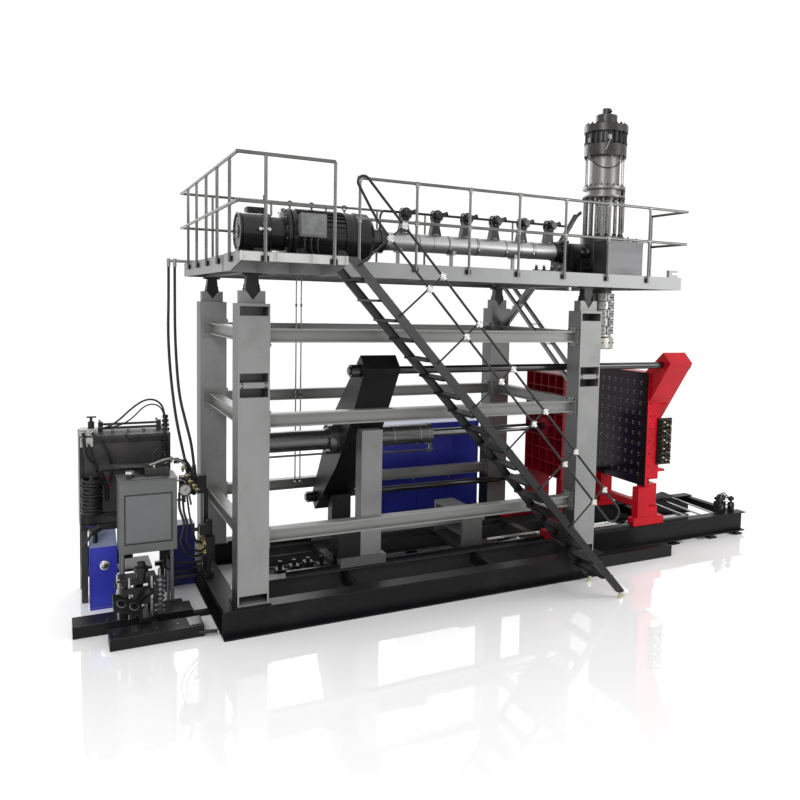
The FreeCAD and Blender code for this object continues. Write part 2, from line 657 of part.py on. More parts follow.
def make_handrail():
    """Two sloping tubes joined by half-round bends, on posts square to the stringer."""
    depth = value("stringer_depth")
    high = value("handrail_height")
    low = value("handrail_mid")
    tube = value("handrail_tube")
    post = value("handrail_post")
    pitch = value("handrail_pitch")
    count = int(value("handrail_posts"))
    start = value("handrail_start")
    y = -value(LANDING_FRONT) + value("channel_wall") - post
    rail_y = y - post - tube - 0.5

    def vector(along, above, across=rail_y):
        x, z = slope_point(along, depth + above)
        return FreeCAD.Vector(x, across, z)

    bend = (high - low) / 2
    head_bend_radius = 72
    join = start - 250
    first = start - 690
    last = start + pitch * (count - 1) + 370
    direction = vector(last, high) - vector(first, high)
    turn_low = high - 2 * head_bend_radius
    line_high = Part.LineSegment(vector(first, high), vector(last, high)).toShape()
    foot_mid = vector(last + bend, high - bend)
    foot_bend = Part.Arc(vector(last, high), foot_mid, vector(last, low)).toShape()
    head_mid = vector(first - head_bend_radius, high - head_bend_radius)
    head_bend = Part.Arc(vector(first, turn_low), head_mid, vector(first, high)).toShape()
    runs = []
    for edge, start_at, course in (
        (line_high, vector(first, high), direction),
        (foot_bend, vector(last, high), direction),
        (head_bend, vector(first, turn_low), -direction),
    ):
        section = Part.Wire(Part.Circle(start_at, course, tube).toShape())
        runs.append(Part.Wire([edge]).makePipeShell([section], True, False))
    runs.append(swept_tube([vector(last, low), vector(join, low), vector(first, turn_low)], tube))
    shaped("stair_handrail", Part.makeCompound(runs))
    posts = []
    clamps = []
    for index in range(count):
        along = start + pitch * index
        base = vector(along, 45 - depth, y)
        axis = vector(along, high, y) - base
        posts.append(Part.makeCylinder(post, axis.Length + tube * 1.4, base, axis))
        for above in (high, low):
            hub = vector(along, above, y)
            across = FreeCAD.Vector(0, -1, 0)
            rail_hub = vector(along, above)
            sleeve_at = rail_hub - direction.normalize() * 28
            sleeve = Part.makeCylinder(tube + 7, 56, sleeve_at, direction)
            collar = Part.makeCylinder(post + 7, 50, hub - FreeCAD.Vector(axis).normalize() * 25, axis)
            bridge = Part.makeCylinder(post, (hub - rail_hub).Length, hub, across)
            clamp = sleeve.fuse([collar, bridge])
            bores = [
                Part.makeCylinder(tube, 56, sleeve_at, direction),
                Part.makeCylinder(post, 50, hub - FreeCAD.Vector(axis).normalize() * 25, axis),
            ]
            clamps.append(clamp.cut(bores))
    shaped("handrail_posts", Part.makeCompound(posts + clamps))


def make_castors():
    """A swivelling castor under each stringer's foot."""
    head_x, run, edge = stair_lines()
    foot = value("stair_foot_height")
    radius = value("caster_wheel_radius")
    wide = value("caster_wheel_width")
    flange = value("stringer_flange")
    width = value("stair_width")
    near = -value(LANDING_FRONT) + value("channel_wall")
    x = head_x + run + edge / 2
    trail = 18
    cheek = 4
    for name, y in (("front", near + flange / 2), ("rear", near + width - flange / 2)):
        crown_top = foot - 6.3
        crown = Part.makeCylinder(17, crown_top - 2 * radius - 6, FreeCAD.Vector(x, y, 2 * radius + 6))
        bridge_at = FreeCAD.Vector(x - 17, y - wide / 2 - cheek - 2, 2 * radius + 3)
        bridge = Part.makeBox(trail + 34, wide + 2 * cheek + 4, 6, bridge_at)
        cheeks = []
        for side in (-1, 1):
            inner = y + side * (wide / 2 + 2)
            low = min(inner, inner + side * cheek)
            cheek_at = FreeCAD.Vector(x + trail - 17, low, radius - 9)
            cheeks.append(Part.makeBox(34, cheek, radius + 12, cheek_at))
        axle_at = FreeCAD.Vector(x + trail, y - wide / 2 - 2 - cheek, radius)
        axle = Part.makeCylinder(6, wide + 4 + 2 * cheek, axle_at, FreeCAD.Vector(0, 1, 0))
        shaped(f"castor_fork_{name}", crown.fuse([bridge, *cheeks, axle]))
        centre = FreeCAD.Vector(x + trail, y - wide / 2, radius)
        wheel = Part.makeCylinder(radius, wide, centre, FreeCAD.Vector(0, 1, 0))
        wheel = wheel.makeFillet(5, [edge for edge in wheel.Edges if edge.Closed])
        bore = Part.makeCylinder(6.08, wide, centre, FreeCAD.Vector(0, 1, 0))
        shaped(f"castor_wheel_{name}", wheel.cut(bore))


# Extruder: drive motor, gearbox, barrel with its screw, shrouds, blowers and stands.

def make_extruder():
    centre = (MIDDLE, AXIS)
    bore = "screw_radius + 0.15"
    neck = "motor_start + motor_length + gearbox_length"
    length = "(barrel_start + barrel_length - motor_start - motor_length - gearbox_length)"
    flange = "barrel_radius + 55"
    tube = [
        (bore, "0"), (flange, "0"), (flange, "50"), ("barrel_radius + 30", "50"),
        ("barrel_radius + 30", f"barrel_start - ({neck})"), ("barrel_radius", f"barrel_start - ({neck})"),
        ("barrel_radius", length), (flange, length), (flange, f"{length} + 60"), (bore, f"{length} + 60"),
    ]
    node("extruder_barrel", turned_body(tube, (neck, *centre), "x"))
    make_screw(neck, length)
    starts = ("0", "1050", "1550", "2650")
    ends = ("1050", "1550", "2650", "barrel_length")
    shrouds = []
    for start, end in zip(starts, ends):
        span = f"({end} - ({start}) - 10)"
        lip = "barrel_radius + 0.3"
        shell = [
            (lip, "0"), ("shroud_radius", "0"), ("shroud_radius", span), (lip, span),
            (lip, f"{span} - shroud_wall"), ("shroud_radius - shroud_wall", f"{span} - shroud_wall"),
            ("shroud_radius - shroud_wall", "shroud_wall"), (lip, "shroud_wall"),
        ]
        shrouds.append(turned_body(shell, (f"barrel_start + {start} + 5", *centre), "x"))
    node("barrel_shrouds", group(*shrouds))
    blowers = []
    ducts = []
    saddle = cylinder(("barrel_start - 100", *centre), "shroud_radius + 0.6", "barrel_length + 200", "x")
    for index in range(int(DIMENSIONS["blower_count"])):
        x = f"(blower_first + blower_pitch * {index})"
        base = f"{AXIS} + shroud_radius * 2.35"
        hub = (MIDDLE, f"{base} + blower_radius + 1")
        scroll = cylinder((f"{x} - 45", *hub), "blower_radius", "80", "x")
        mouth = block((f"{x} - 45", f"{MIDDLE} - 55", base), (80, 110, 90))
        motor = cylinder((f"{x} + 35", *hub), "blower_radius * 0.55", "75", "x")
        intake = ring((f"{x} - 60", *hub), "blower_radius * 0.62", "blower_radius * 0.45", "15", "x")
        blowers.append(fuse(scroll, mouth, motor, intake))
        duct = [
            (f"{x} - 95", f"{AXIS} + shroud_radius * 0.7"), (f"{x} + 95", f"{AXIS} + shroud_radius * 0.7"),
            (f"{x} + 40", base), (f"{x} - 50", base),
        ]
        body = padded_body("XZ_Plane", duct, "120", ("0", f"{MIDDLE} + 60", "0"))
        ducts.append(cut(body, saddle))
    node("barrel_blowers", group(*blowers, *ducts))
    stands = []
    for share in (0.07, 0.36, 0.72):
        x = f"barrel_start + barrel_length * {share}"
        foot = block((f"{x} - 60", f"{MIDDLE} - 90", DECK_TOP), (160, 180, 12))
        column = block((f"{x}", f"{MIDDLE} - 30", f"{DECK_TOP} + 12"), (40, 60, "barrel_height - 110"))
        head = block((f"{x} - 10", f"{MIDDLE} - 110", f"{AXIS} - shroud_radius - 15"), (60, 220, 60))
        stands.append(cut(fuse(foot, column, head), saddle))
    node("barrel_stands", group(*stands))


def make_screw(neck, length):
    """The screw: a root, a helical flight and a shank that reaches into the gearbox."""
    root = value("screw_root")
    radius = value("screw_radius")
    start = value(neck) + 60
    span = value(length) - 60
    shank = Part.makeCylinder(root, span + 200, FreeCAD.Vector(start - 160, 0, 0), FreeCAD.Vector(1, 0, 0))
    pitch = 2 * radius
    turns = int((span - 120) / pitch)
    flights = []
    thick = 12
    for index in range(turns):
        at = FreeCAD.Vector(start + 60 + pitch * index, 0, 0)
        flights.append(Part.makeCylinder(radius, thick, at, FreeCAD.Vector(1, 0, 0)))
    screw = shank.fuse(flights)
    screw.translate(FreeCAD.Vector(0, value(MIDDLE), value(AXIS)))
    shaped("extruder_screw", screw)


def make_drive():
    centre = (MIDDLE, AXIS)
    rim = "motor_radius"
    stator = [
        ("60", "0"), (f"{rim} - 90", "0"), (f"{rim} - 20", "70"), (rim, "75"), (rim, "140"),
        (f"{rim} - 22", "140"), (f"{rim} - 22", "motor_length - 140"), (rim, "motor_length - 140"),
        (rim, "motor_length"), ("60", "motor_length"),
    ]
    body = turned_body(stator, ("motor_start", *centre), "x")
    pieces = [body]
    for x in ("motor_start + 120", "motor_start + motor_length - 260"):
        foot = block((x, f"{MIDDLE} - 300", DECK_TOP), (140, 600, "barrel_height - 150"))
        hollow = cylinder(("motor_start", *centre), "motor_radius - 21", "motor_length", "x")
        pieces.append(cut(foot, hollow))
    fins = 28
    for index in range(fins):
        angle = 360 * (index + 0.5) / fins
        if 225 < angle < 315:
            continue
        fin = doc.addObject("Part::Box", "Fin")
        bind(fin, Length="motor_length - 280", Width=9, Height=26)
        turn = math.radians(angle)
        fin.Placement.Rotation = FreeCAD.Rotation(FreeCAD.Vector(1, 0, 0), angle - 90)
        reach = "(motor_radius - 26)"
        place(fin, (
            "motor_start + 140",
            f"{MIDDLE} + {reach} * {math.cos(turn):.6f}",
            f"{AXIS} + {reach} * {math.sin(turn):.6f}",
        ))
        pieces.append(fin)
    motor = fuse(*pieces)
    eyes = []
    for x in ("motor_start + 105", "motor_start + 420", "motor_start + motor_length - 70"):
        shank = cylinder((x, MIDDLE, f"{AXIS} + motor_radius - 30"), "14", "70")
        eye = doc.addObject("Part::Torus", "Eye")
        bind(eye, Radius1=34, Radius2=9)
        place(eye, (x, MIDDLE, f"{AXIS} + motor_radius + 68"), (1, 0, 0), 90)
        eyes.append(fuse(shank, eye))
    node("drive_motor", fuse(motor, *eyes))
    fan = [
        ("0", "0"), ("90", "0"), ("90", "25"), ("fan_radius - 30", "25"), ("fan_radius", "40"),
        ("fan_radius", "fan_length"), ("fan_radius - 25", "fan_length"),
        ("fan_radius - 25", "fan_length + 199"),
        ("0", "fan_length + 199"),
    ]
    fan_start = "motor_start - fan_length - 200"
    housing = turned_body(fan, (fan_start, *centre), "x")
    gear = [
        ("screw_radius + 1", "0"), ("gearbox_radius - 20", "0"), ("gearbox_radius", "20"),
        ("gearbox_radius", "gearbox_length - 70"), ("gearbox_radius - 60", "gearbox_length"),
        ("screw_radius + 1", "gearbox_length"),
    ]
    box = turned_body(gear, ("motor_start + motor_length", *centre), "x")
    pedestal_at = ("motor_start + motor_length + 60", f"{MIDDLE} - 240", DECK_TOP)
    pedestal = block(pedestal_at, (150, 480, "barrel_height - 250"))
    hollow = cylinder(("motor_start", *centre), "gearbox_radius - 10", "2000", "x")
    fan_foot = block((f"{fan_start} + 200", f"{MIDDLE} - 150", DECK_TOP), (120, 300, "barrel_height - 180"))
    fan_hollow = cylinder((fan_start, *centre), "fan_radius - 10", "fan_length", "x")
    boxes = [fuse(housing, cut(fan_foot, fan_hollow)), fuse(box, cut(pedestal, hollow))]
    node("motor_housings", group(*boxes))
    front = f"{MIDDLE} - motor_radius - 120"
    case = block(("motor_start + 130", front, f"{AXIS} - 40"), (350, 140, 300))
    lid = block(("motor_start + 120", f"{front} - 12", f"{AXIS} - 50"), (370, 12, 320))
    curve = cylinder(("motor_start", *centre), "motor_radius + 0.7", "motor_length", "x")
    node("terminal_box", fuse(lid, cut(case, curve)))


# Accumulator head: adaptor, die body with heaters, tie rods, injection cylinder and rod.

def make_head():
    """The vertical stack: drum on the deck, heated die below it, injection cylinder on top."""
    start = "(barrel_start + barrel_length + 60)"
    centre = (MIDDLE, AXIS)
    axis_at = (HEAD_X, MIDDLE)
    drum = "(tie_rod_circle + 60)"
    gap = f"({HEAD_X} - {drum} - {start})"
    neck = [
        ("screw_radius", "0"), ("150", "0"), ("150", "60"), ("85", "60"), ("85", f"{gap} - 420"),
        ("120", f"{gap} - 420"), ("120", f"{gap} - 60"), ("170", f"{gap} - 60"), ("170", f"{gap} - 1"),
        ("screw_radius", f"{gap} - 1"),
    ]
    adaptor = turned_body(neck, (start, *centre), "x")
    pier_at = (f"{start} + {gap} - 400", f"{MIDDLE} - 190", DECK_TOP)
    pier_bore = cylinder((start, *centre), "120.3", "2000", "x")
    pier = cut(block(pier_at, (200, 380, "barrel_height + 150")), pier_bore)
    node("head_adaptor", group(adaptor, pier))
    rod = "88"
    body_foot = f"({DIE_FOOT} + die_ring_height)"
    seat = f"({DECK_TOP} - {body_foot})"
    plate = f"({seat} + 630)"
    core_bore = "(die_core_radius + 70)"
    body = [
        (core_bore, "0"), ("die_radius - 30", "0"), ("die_radius - 30", seat),
        ("head_hole_radius + 40", seat),
        ("head_hole_radius + 40", f"{seat} + 40"), (drum, f"{seat} + 40"), (drum, f"{plate} + 85"),
        (f"{rod} + 0.1", f"{plate} + 85"), (f"{rod} + 0.1", plate), (core_bore, f"{plate} - 200"),
    ]
    spider_z = f"{body_foot} + 700"
    hub = cylinder((*axis_at, spider_z), "60.1", "70")
    boss = cylinder((*axis_at, spider_z), "90", "70")
    arm_x = block((f"{HEAD_X} - 185", f"{MIDDLE} - 14", spider_z), (370, 28, 70))
    arm_y = block((f"{HEAD_X} - 14", f"{MIDDLE} - 185", spider_z), (28, 370, 70))
    spider = cut(fuse(boss, arm_x, arm_y), hub)
    node("head_body", fuse(turned_body(body, (*axis_at, body_foot)), spider))
    bands = []
    count = 5
    band_pitch = f"({seat} - 260) / {count}"
    for index in range(count):
        z = f"{body_foot} + 12 + {band_pitch} * {index}"
        bands.append(ring((*axis_at, z), "die_radius", "die_radius - 29.7", f"{band_pitch} - 14"))
    node("die_heaters", group(*bands))
    top = "(die_ring_height - 0.3)"
    die = [
        ("die_core_radius + 12", "0"), ("die_radius + 15", "0"), ("die_radius + 28", "15"),
        ("die_radius + 28", f"{top} - 60"), ("die_radius - 10", f"{top} - 30"), ("die_radius - 10", top),
        (core_bore, top), (core_bore, "120"), ("die_core_radius + 12", "60"),
    ]
    node("die_ring", turned_body(die, (*axis_at, DIE_FOOT)))
    core_top = "(die_ring_height + 755)"
    core = [
        ("0", "0"), ("die_core_radius", "0"), ("die_core_radius", "60"), ("60", "160"), ("60", core_top),
        ("0", core_top),
    ]
    node("die_core", turned_body(core, (*axis_at, f"{DIE_FOOT} + 5")))
    make_head_rods(axis_at, f"({body_foot} + {plate} + 85)", f"({HEAD_TOP} - 1230)")
    make_injection(axis_at, rod, f"({body_foot} + {plate} + 85)", f"({HEAD_TOP} - 1230)")
    case_at = (f"{HEAD_X} - 610", f"{MIDDLE} - 930", DECK_TOP)
    case = block(case_at, (750, 340, 560))
    hood = block((f"{HEAD_X} - 620", f"{MIDDLE} - 940", f"{DECK_TOP} + 560"), (770, 360, 22))
    node("head_cabinet", fuse(case, hood))


def make_head_rods(axis_at, rods_foot, ring_foot):
    """A cage of tie rods between the drum and the injection cylinder, and a travel sensor."""
    rods = []
    count = int(DIMENSIONS["tie_rod_count"])
    length = f"{ring_foot} - {rods_foot}"
    for index in range(count):
        turn = 2 * math.pi * (index + 0.5) / count
        x = f"{HEAD_X} + tie_rod_circle * {math.cos(turn):.6f}"
        y = f"{MIDDLE} + tie_rod_circle * {math.sin(turn):.6f}"
        rods.append(cylinder((x, y, rods_foot), "tie_rod_radius", length))
    sensor_at = (f"{HEAD_X} + tie_rod_circle + 92", MIDDLE, f"{ring_foot} - 560")
    arm_at = (f"{HEAD_X} + tie_rod_circle + 45.3", f"{MIDDLE} - 20", f"{ring_foot} + 150")
    sensor = fuse(cylinder(sensor_at, "42", "740"), block(arm_at, (60, 40, 30)))
    node("head_tie_rods", group(*rods, sensor))


def make_injection(axis_at, rod, rods_foot, ring_foot):
    """The injection cylinder with its bolted rings, and the piston and rod inside it."""
    bore = "cylinder_radius - 60"
    tall = f"({HEAD_TOP} - {ring_foot})"
    band = "cylinder_radius + 30"
    seat = "tie_rod_circle + 45"
    barrel = [
        (f"{rod} + 0.1", "0"), (seat, "0"), (seat, "30"), (band, "30"), (band, "140"), (seat, "140"),
        (seat, "190"), ("cylinder_radius", "190"), ("cylinder_radius", f"{tall} - 520"),
        ("ring_radius - 15", f"{tall} - 520"), ("ring_radius - 15", f"{tall} - 330"),
        ("ring_radius - 60", f"{tall} - 330"), ("ring_radius - 60", f"{tall} - 120"),
        ("ring_radius", f"{tall} - 120"), ("ring_radius", tall), ("185", tall), ("185", f"{tall} + 190"),
        ("75", f"{tall} + 190"), ("75", f"{tall} + 310"), ("0", f"{tall} + 310"), ("0", f"{tall} - 60"),
        (bore, f"{tall} - 60"), (bore, "200"), (f"{rod} + 0.1", "200"),
    ]
    node("injection_cylinder", turned_body(barrel, (*axis_at, ring_foot)))
    piston = f"({tall} - 155)"
    shaft_foot = f"(0 - ({ring_foot} - {rods_foot} + 60))"
    shaft = [
        ("0", shaft_foot), (rod, shaft_foot), (rod, piston), (f"{bore} - 0.1", piston),
        (f"{bore} - 0.1", f"{piston} + 90"), ("0", f"{piston} + 90"),
    ]
    node("injection_rod", turned_body(shaft, (*axis_at, ring_foot)))


# Clamp: bed with rails, outer frame (rear yoke, tie bars, right platen), left platen, cylinder.

def hexagon():
    """The yokes' long six-sided outline, leaning from front top to rear bottom."""
    across = value("bar_offset_y")
    up = value("bar_offset_z")
    size = math.hypot(across, up)
    lean = (across / size, -up / size)
    wide = (up / size, across / size)
    outline = []
    for along, half in (
        ("0 - yoke_reach", "0 - yoke_end"), ("0 - yoke_reach", "yoke_end"), ("0 - yoke_half", "yoke_half"),
        ("yoke_half", "yoke_half"), ("yoke_reach", "yoke_end"), ("yoke_reach", "0 - yoke_end"),
        ("yoke_half", "0 - yoke_half"), ("0 - yoke_half", "0 - yoke_half"),
    ):
        y = f"{MIDDLE} + ({along}) * {lean[0]:.6f} + ({half}) * {wide[0]:.6f}"
        z = f"clamp_axis + ({along}) * {lean[1]:.6f} + ({half}) * {wide[1]:.6f}"
        outline.append((y, z))
    return outline


BARS = (
    (f"{MIDDLE} - bar_offset_y", "clamp_axis + bar_offset_z"),
    (f"{MIDDLE} + bar_offset_y", "clamp_axis - bar_offset_z"),
)
BED_TOP = "(bed_foot + bed_height)"
BED_FAR = f"(2 * {MIDDLE} - bed_front)"
SHOE_TOP = f"({RAIL_TOP} + 95)"
RAIL_NEAR = "(bed_front + bed_beam_width / 2 - rail_section / 2)"
RAIL_FAR = f"({BED_FAR} - bed_beam_width / 2 - rail_section / 2)"
SYNC_X = f"({HEAD_X} - 2735)"


def make_bed():
    length = f"({BED_RIGHT} - bed_left)"
    beams = []
    for y in ("bed_front", f"{BED_FAR} - bed_beam_width"):
        beams.append(i_beam("x", ("bed_left", y, "bed_foot"), length, "bed_height", "bed_beam_width"))
    inner = f"({BED_FAR} - bed_front - 2 * bed_beam_width)"
    web_y = "bed_front + bed_beam_width / 2 + web_thick / 2"
    web_gap = f"({BED_FAR} - bed_front - bed_beam_width - web_thick)"
    for share in (0, 0.118, 0.2, 0.5, 0.62, 0.8, 0.985):
        x = f"bed_left + {length} * {share}"
        beams.append(block((x, web_y, f"{BED_TOP} - 180"), (130, web_gap, 150)))
    tray = (f"{SYNC_X} - 225", "bed_front + bed_beam_width", f"{BED_TOP} - 20")
    beams.append(block(tray, (450, inner, 20)))
    for share in (0.355, 0.395):
        x = f"bed_left + {length} * {share}"
        beams.append(block((x, web_y, f"{BED_TOP} - 170"), (100, web_gap, 149)))
    for share in (0.006, 0.1, 0.2, 0.3, 0.4, 0.5, 0.6, 0.7, 0.8, 0.9, 0.972):
        for y in ("bed_front - 10", f"{BED_FAR} - bed_beam_width - 10"):
            x = f"bed_left + {length} * {share}"
            pad = block((x, y, "0"), (180, "bed_beam_width + 20", "25"))
            stem = cylinder((f"{x} + 90", f"{y} + 10 + bed_beam_width / 2", "25"), "30", "bed_foot - 25")
            beams.append(fuse(pad, stem))
    node("clamp_bed", group(*beams))
    rails = []
    for y in (RAIL_NEAR, RAIL_FAR):
        rail = (f"{length} - 1680", "rail_section", "rail_section")
        rails.append(block(("bed_left + 300", y, BED_TOP), rail))
    node("bed_rails", group(*rails))


def shoe(x, length, near):
    """A carriage block that straddles one rail; `near` is the rail's edge nearest the viewer."""
    outer_at = (x, f"{near} - 55", f"{BED_TOP} + 12")
    outer = block(outer_at, (length, "rail_section + 110", f"{SHOE_TOP} - {BED_TOP} - 12"))
    channel_at = (x, f"{near} - 0.3", f"{BED_TOP} + 12")
    slot = block(channel_at, (length, "rail_section + 0.6", "rail_section - 12 + 0.3"))
    return cut(outer, slot)


def make_outer_frame():
    """Rear yoke, tie bars, right platen and their carriage: they slide together."""
    holes = [(y, z, "bar_radius + 0.3") for y, z in BARS]
    bore = (MIDDLE, "clamp_axis", "barrel_tube + 0.3")
    yoke = padded_body("YZ_Plane", hexagon(), "yoke_width", (YOKE_LEFT, "0", "0"), holes + [bore])
    rear_leg_at = (f"{YOKE_LEFT} + 140", f"{RAIL_FAR} - 120", SHOE_TOP)
    rear_leg = block(rear_leg_at, (310, 200, f"1150 - {SHOE_TOP}"))
    step = block((f"{YOKE_LEFT} - 190", f"{RAIL_NEAR} - 20", SHOE_TOP), (329.7, 330, "370"))
    outer_leg_at = (f"{YOKE_LEFT} + 140", f"{RAIL_NEAR} - 20", SHOE_TOP)
    front_leg = block(outer_leg_at, (310, 250, f"2380 - {SHOE_TOP}"))
    tubes = [cylinder((YOKE_LEFT, y, z), "bar_radius + 0.3", "yoke_width", "x") for y, z in BARS]
    node("rear_yoke", group(cut(fuse(yoke, rear_leg), *tubes), step))
    full_yoke = padded_body("YZ_Plane", hexagon(), "yoke_width", (YOKE_LEFT, "0", "0"))
    bars = []
    nuts = []
    start = f"({YOKE_LEFT} - 165)"
    span = f"({RIGHT_FACE} + right_yoke_width + 120 - {start})"
    for y, z in BARS:
        bars.append(cylinder((start, y, z), "bar_radius", span, "x"))
        for x, long in ((f"{start} + 25", "140"), (f"{RIGHT_FACE} + right_yoke_width", "95")):
            nuts.append(ring((x, y, z), "bar_radius + 32", "bar_radius + 0.2", long, "x"))
    node("tie_bars", group(*bars, *nuts))
    face_y = f"({MIDDLE} - platen_width / 2)"
    slab = block((RIGHT_FACE, face_y, "platen_foot"), ("right_plate", "platen_width", "platen_height"))
    notch = block((f"{RIGHT_FACE} + 60", face_y, "platen_foot"), ("right_plate - 60", 220, 120))
    rear = padded_body("YZ_Plane", hexagon(), "right_yoke_width - 30", (f"{RIGHT_FACE} + 30", "0", "0"))
    webs = []
    for share in (0.12, 0.3, 0.5, 0.7, 0.88):
        web_at = (f"{RIGHT_FACE} + right_plate", f"{face_y} + 20", f"platen_foot + platen_height * {share}")
        webs.append(block(web_at, (170, "platen_width - 40", 40)))
    post_height = f"platen_foot + 30 - {SHOE_TOP}"
    brace_at = (f"{RIGHT_FACE} - 60", f"{RAIL_NEAR} + 100", "700")
    posts = [block(brace_at, (120, f"{RAIL_FAR} - {RAIL_NEAR} - 100", 120))]
    for rail, inward in ((RAIL_NEAR, "30"), (RAIL_FAR, "0 - 135")):
        near = f"{rail} - 45"
        inner = f"{rail} + {inward}"
        posts.append(block((f"{RIGHT_FACE} - 180", near, SHOE_TOP), (250, 160, f"{post_height} - 31")))
        posts.append(block((f"{RIGHT_FACE} + 70", near, SHOE_TOP), (190, 160, 170)))
        posts.append(block((f"{RIGHT_FACE} + 30", inner, SHOE_TOP), (260, 220, post_height)))
    shank = [cylinder((RIGHT_FACE, y, z), "bar_radius + 0.3", "right_yoke_width", "x") for y, z in BARS]
    drilled = mould_holes(RIGHT_FACE, "platen_foot + platen_height / 2", 7, 10)
    solid = cut(fuse(cut(slab, notch), rear, *webs, *posts), *shank, drilled)
    node("right_platen", solid)
    shoes = []
    for near in (RAIL_NEAR, RAIL_FAR):
        shoes.append(shoe(f"{YOKE_LEFT} - 160", "680", near))
        shoes.append(shoe(f"{RIGHT_FACE} - 270", "670", near))
    node("outer_shoes", group(*shoes))
    cross_at = (f"{YOKE_LEFT} + 141", f"{RAIL_NEAR} + 230", SHOE_TOP)
    cross = block(cross_at, (180, f"{RAIL_FAR} - 120 - ({RAIL_NEAR} + 230)", 190))
    rack_at = (f"{YOKE_LEFT} + 321", f"{MIDDLE} - pinion_radius - 40", f"{SHOE_TOP} + 100")
    rack = block(rack_at, (f"{SYNC_X} + 450 - ({YOKE_LEFT} + 321)", "39.7", "40"))
    node("outer_rack", group(cut(front_leg, full_yoke), cross, rack))


def mould_holes(face, level, columns, rows, depth="60"):
    """A grid of blind tapped holes in a platen's face."""
    holes = []
    for column in range(columns):
        for row in range(rows):
            y = f"{MIDDLE} + mould_pitch * {column - (columns - 1) / 2}"
            z = f"{level} + mould_pitch * {row - (rows - 1) / 2}"
            holes.append(cylinder((face, y, z), "mould_hole_radius", depth, "x"))
    return group(*holes)


def make_inner_frame():
    """The left platen: a face plate on a deep rib grid, on its own carriage."""
    near = f"({MIDDLE} - left_platen_width / 2)"
    back = f"({LEFT_FACE} - left_platen_thick)"
    face_at = (f"{LEFT_FACE} - 80", near, "left_platen_foot")
    face = block(face_at, (80, "left_platen_width", "left_platen_height"))
    ribs = []
    deep = "(left_platen_thick - 80)"
    columns = 5
    rows = 8
    for index in range(columns + 1):
        y = f"{near} + (left_platen_width - rib_thick) * {index} / {columns}"
        ribs.append(block((back, y, "left_platen_foot"), (deep, "rib_thick", "left_platen_height")))
    for index in range(rows + 1):
        z = f"left_platen_foot + (left_platen_height - rib_thick) * {index} / {rows}"
        ribs.append(block((back, near, z), (deep, "left_platen_width", "rib_thick")))
    boss = cylinder((back, MIDDLE, "clamp_axis"), "150", deep, "x")
    drilled = mould_holes(f"{LEFT_FACE} - 60", "platen_foot + platen_height / 2", 5, 8)
    seat = cylinder((back, MIDDLE, "clamp_axis"), "rod_radius", 200, "x")
    node("left_platen", cut(fuse(face, *ribs, boss), drilled, seat))
    parts = []
    leg_top = f"(left_platen_foot - {SHOE_TOP})"
    for near_rail, leg_y in ((RAIL_NEAR, near), (RAIL_FAR, f"{MIDDLE} + left_platen_width / 2 - 160")):
        parts.append(shoe(f"{back} - 420", "900", near_rail))
        parts.append(block((f"{back} + 20", leg_y, SHOE_TOP), ("420", "160", leg_top)))
    for parts_x in ("40", "300"):
        bridge_at = (f"{back} + {parts_x}", f"{RAIL_NEAR} - 40", SHOE_TOP)
        parts.append(block(bridge_at, (120, f"{RAIL_FAR} + 95 - ({RAIL_NEAR} - 40)", 90)))
    rack_at = (f"{SYNC_X} - 450", f"{MIDDLE} + pinion_radius + 0.3", f"{SHOE_TOP} + 100")
    rack = block(rack_at, (f"{back} + 25 - ({SYNC_X} - 450)", "39.7", "40"))
    drop = block((f"{back} + 1", f"{MIDDLE} + pinion_radius - 20", f"{SHOE_TOP} + 60"), (60, 80, 80))
    node("left_carriage", fuse(*parts, rack, drop))


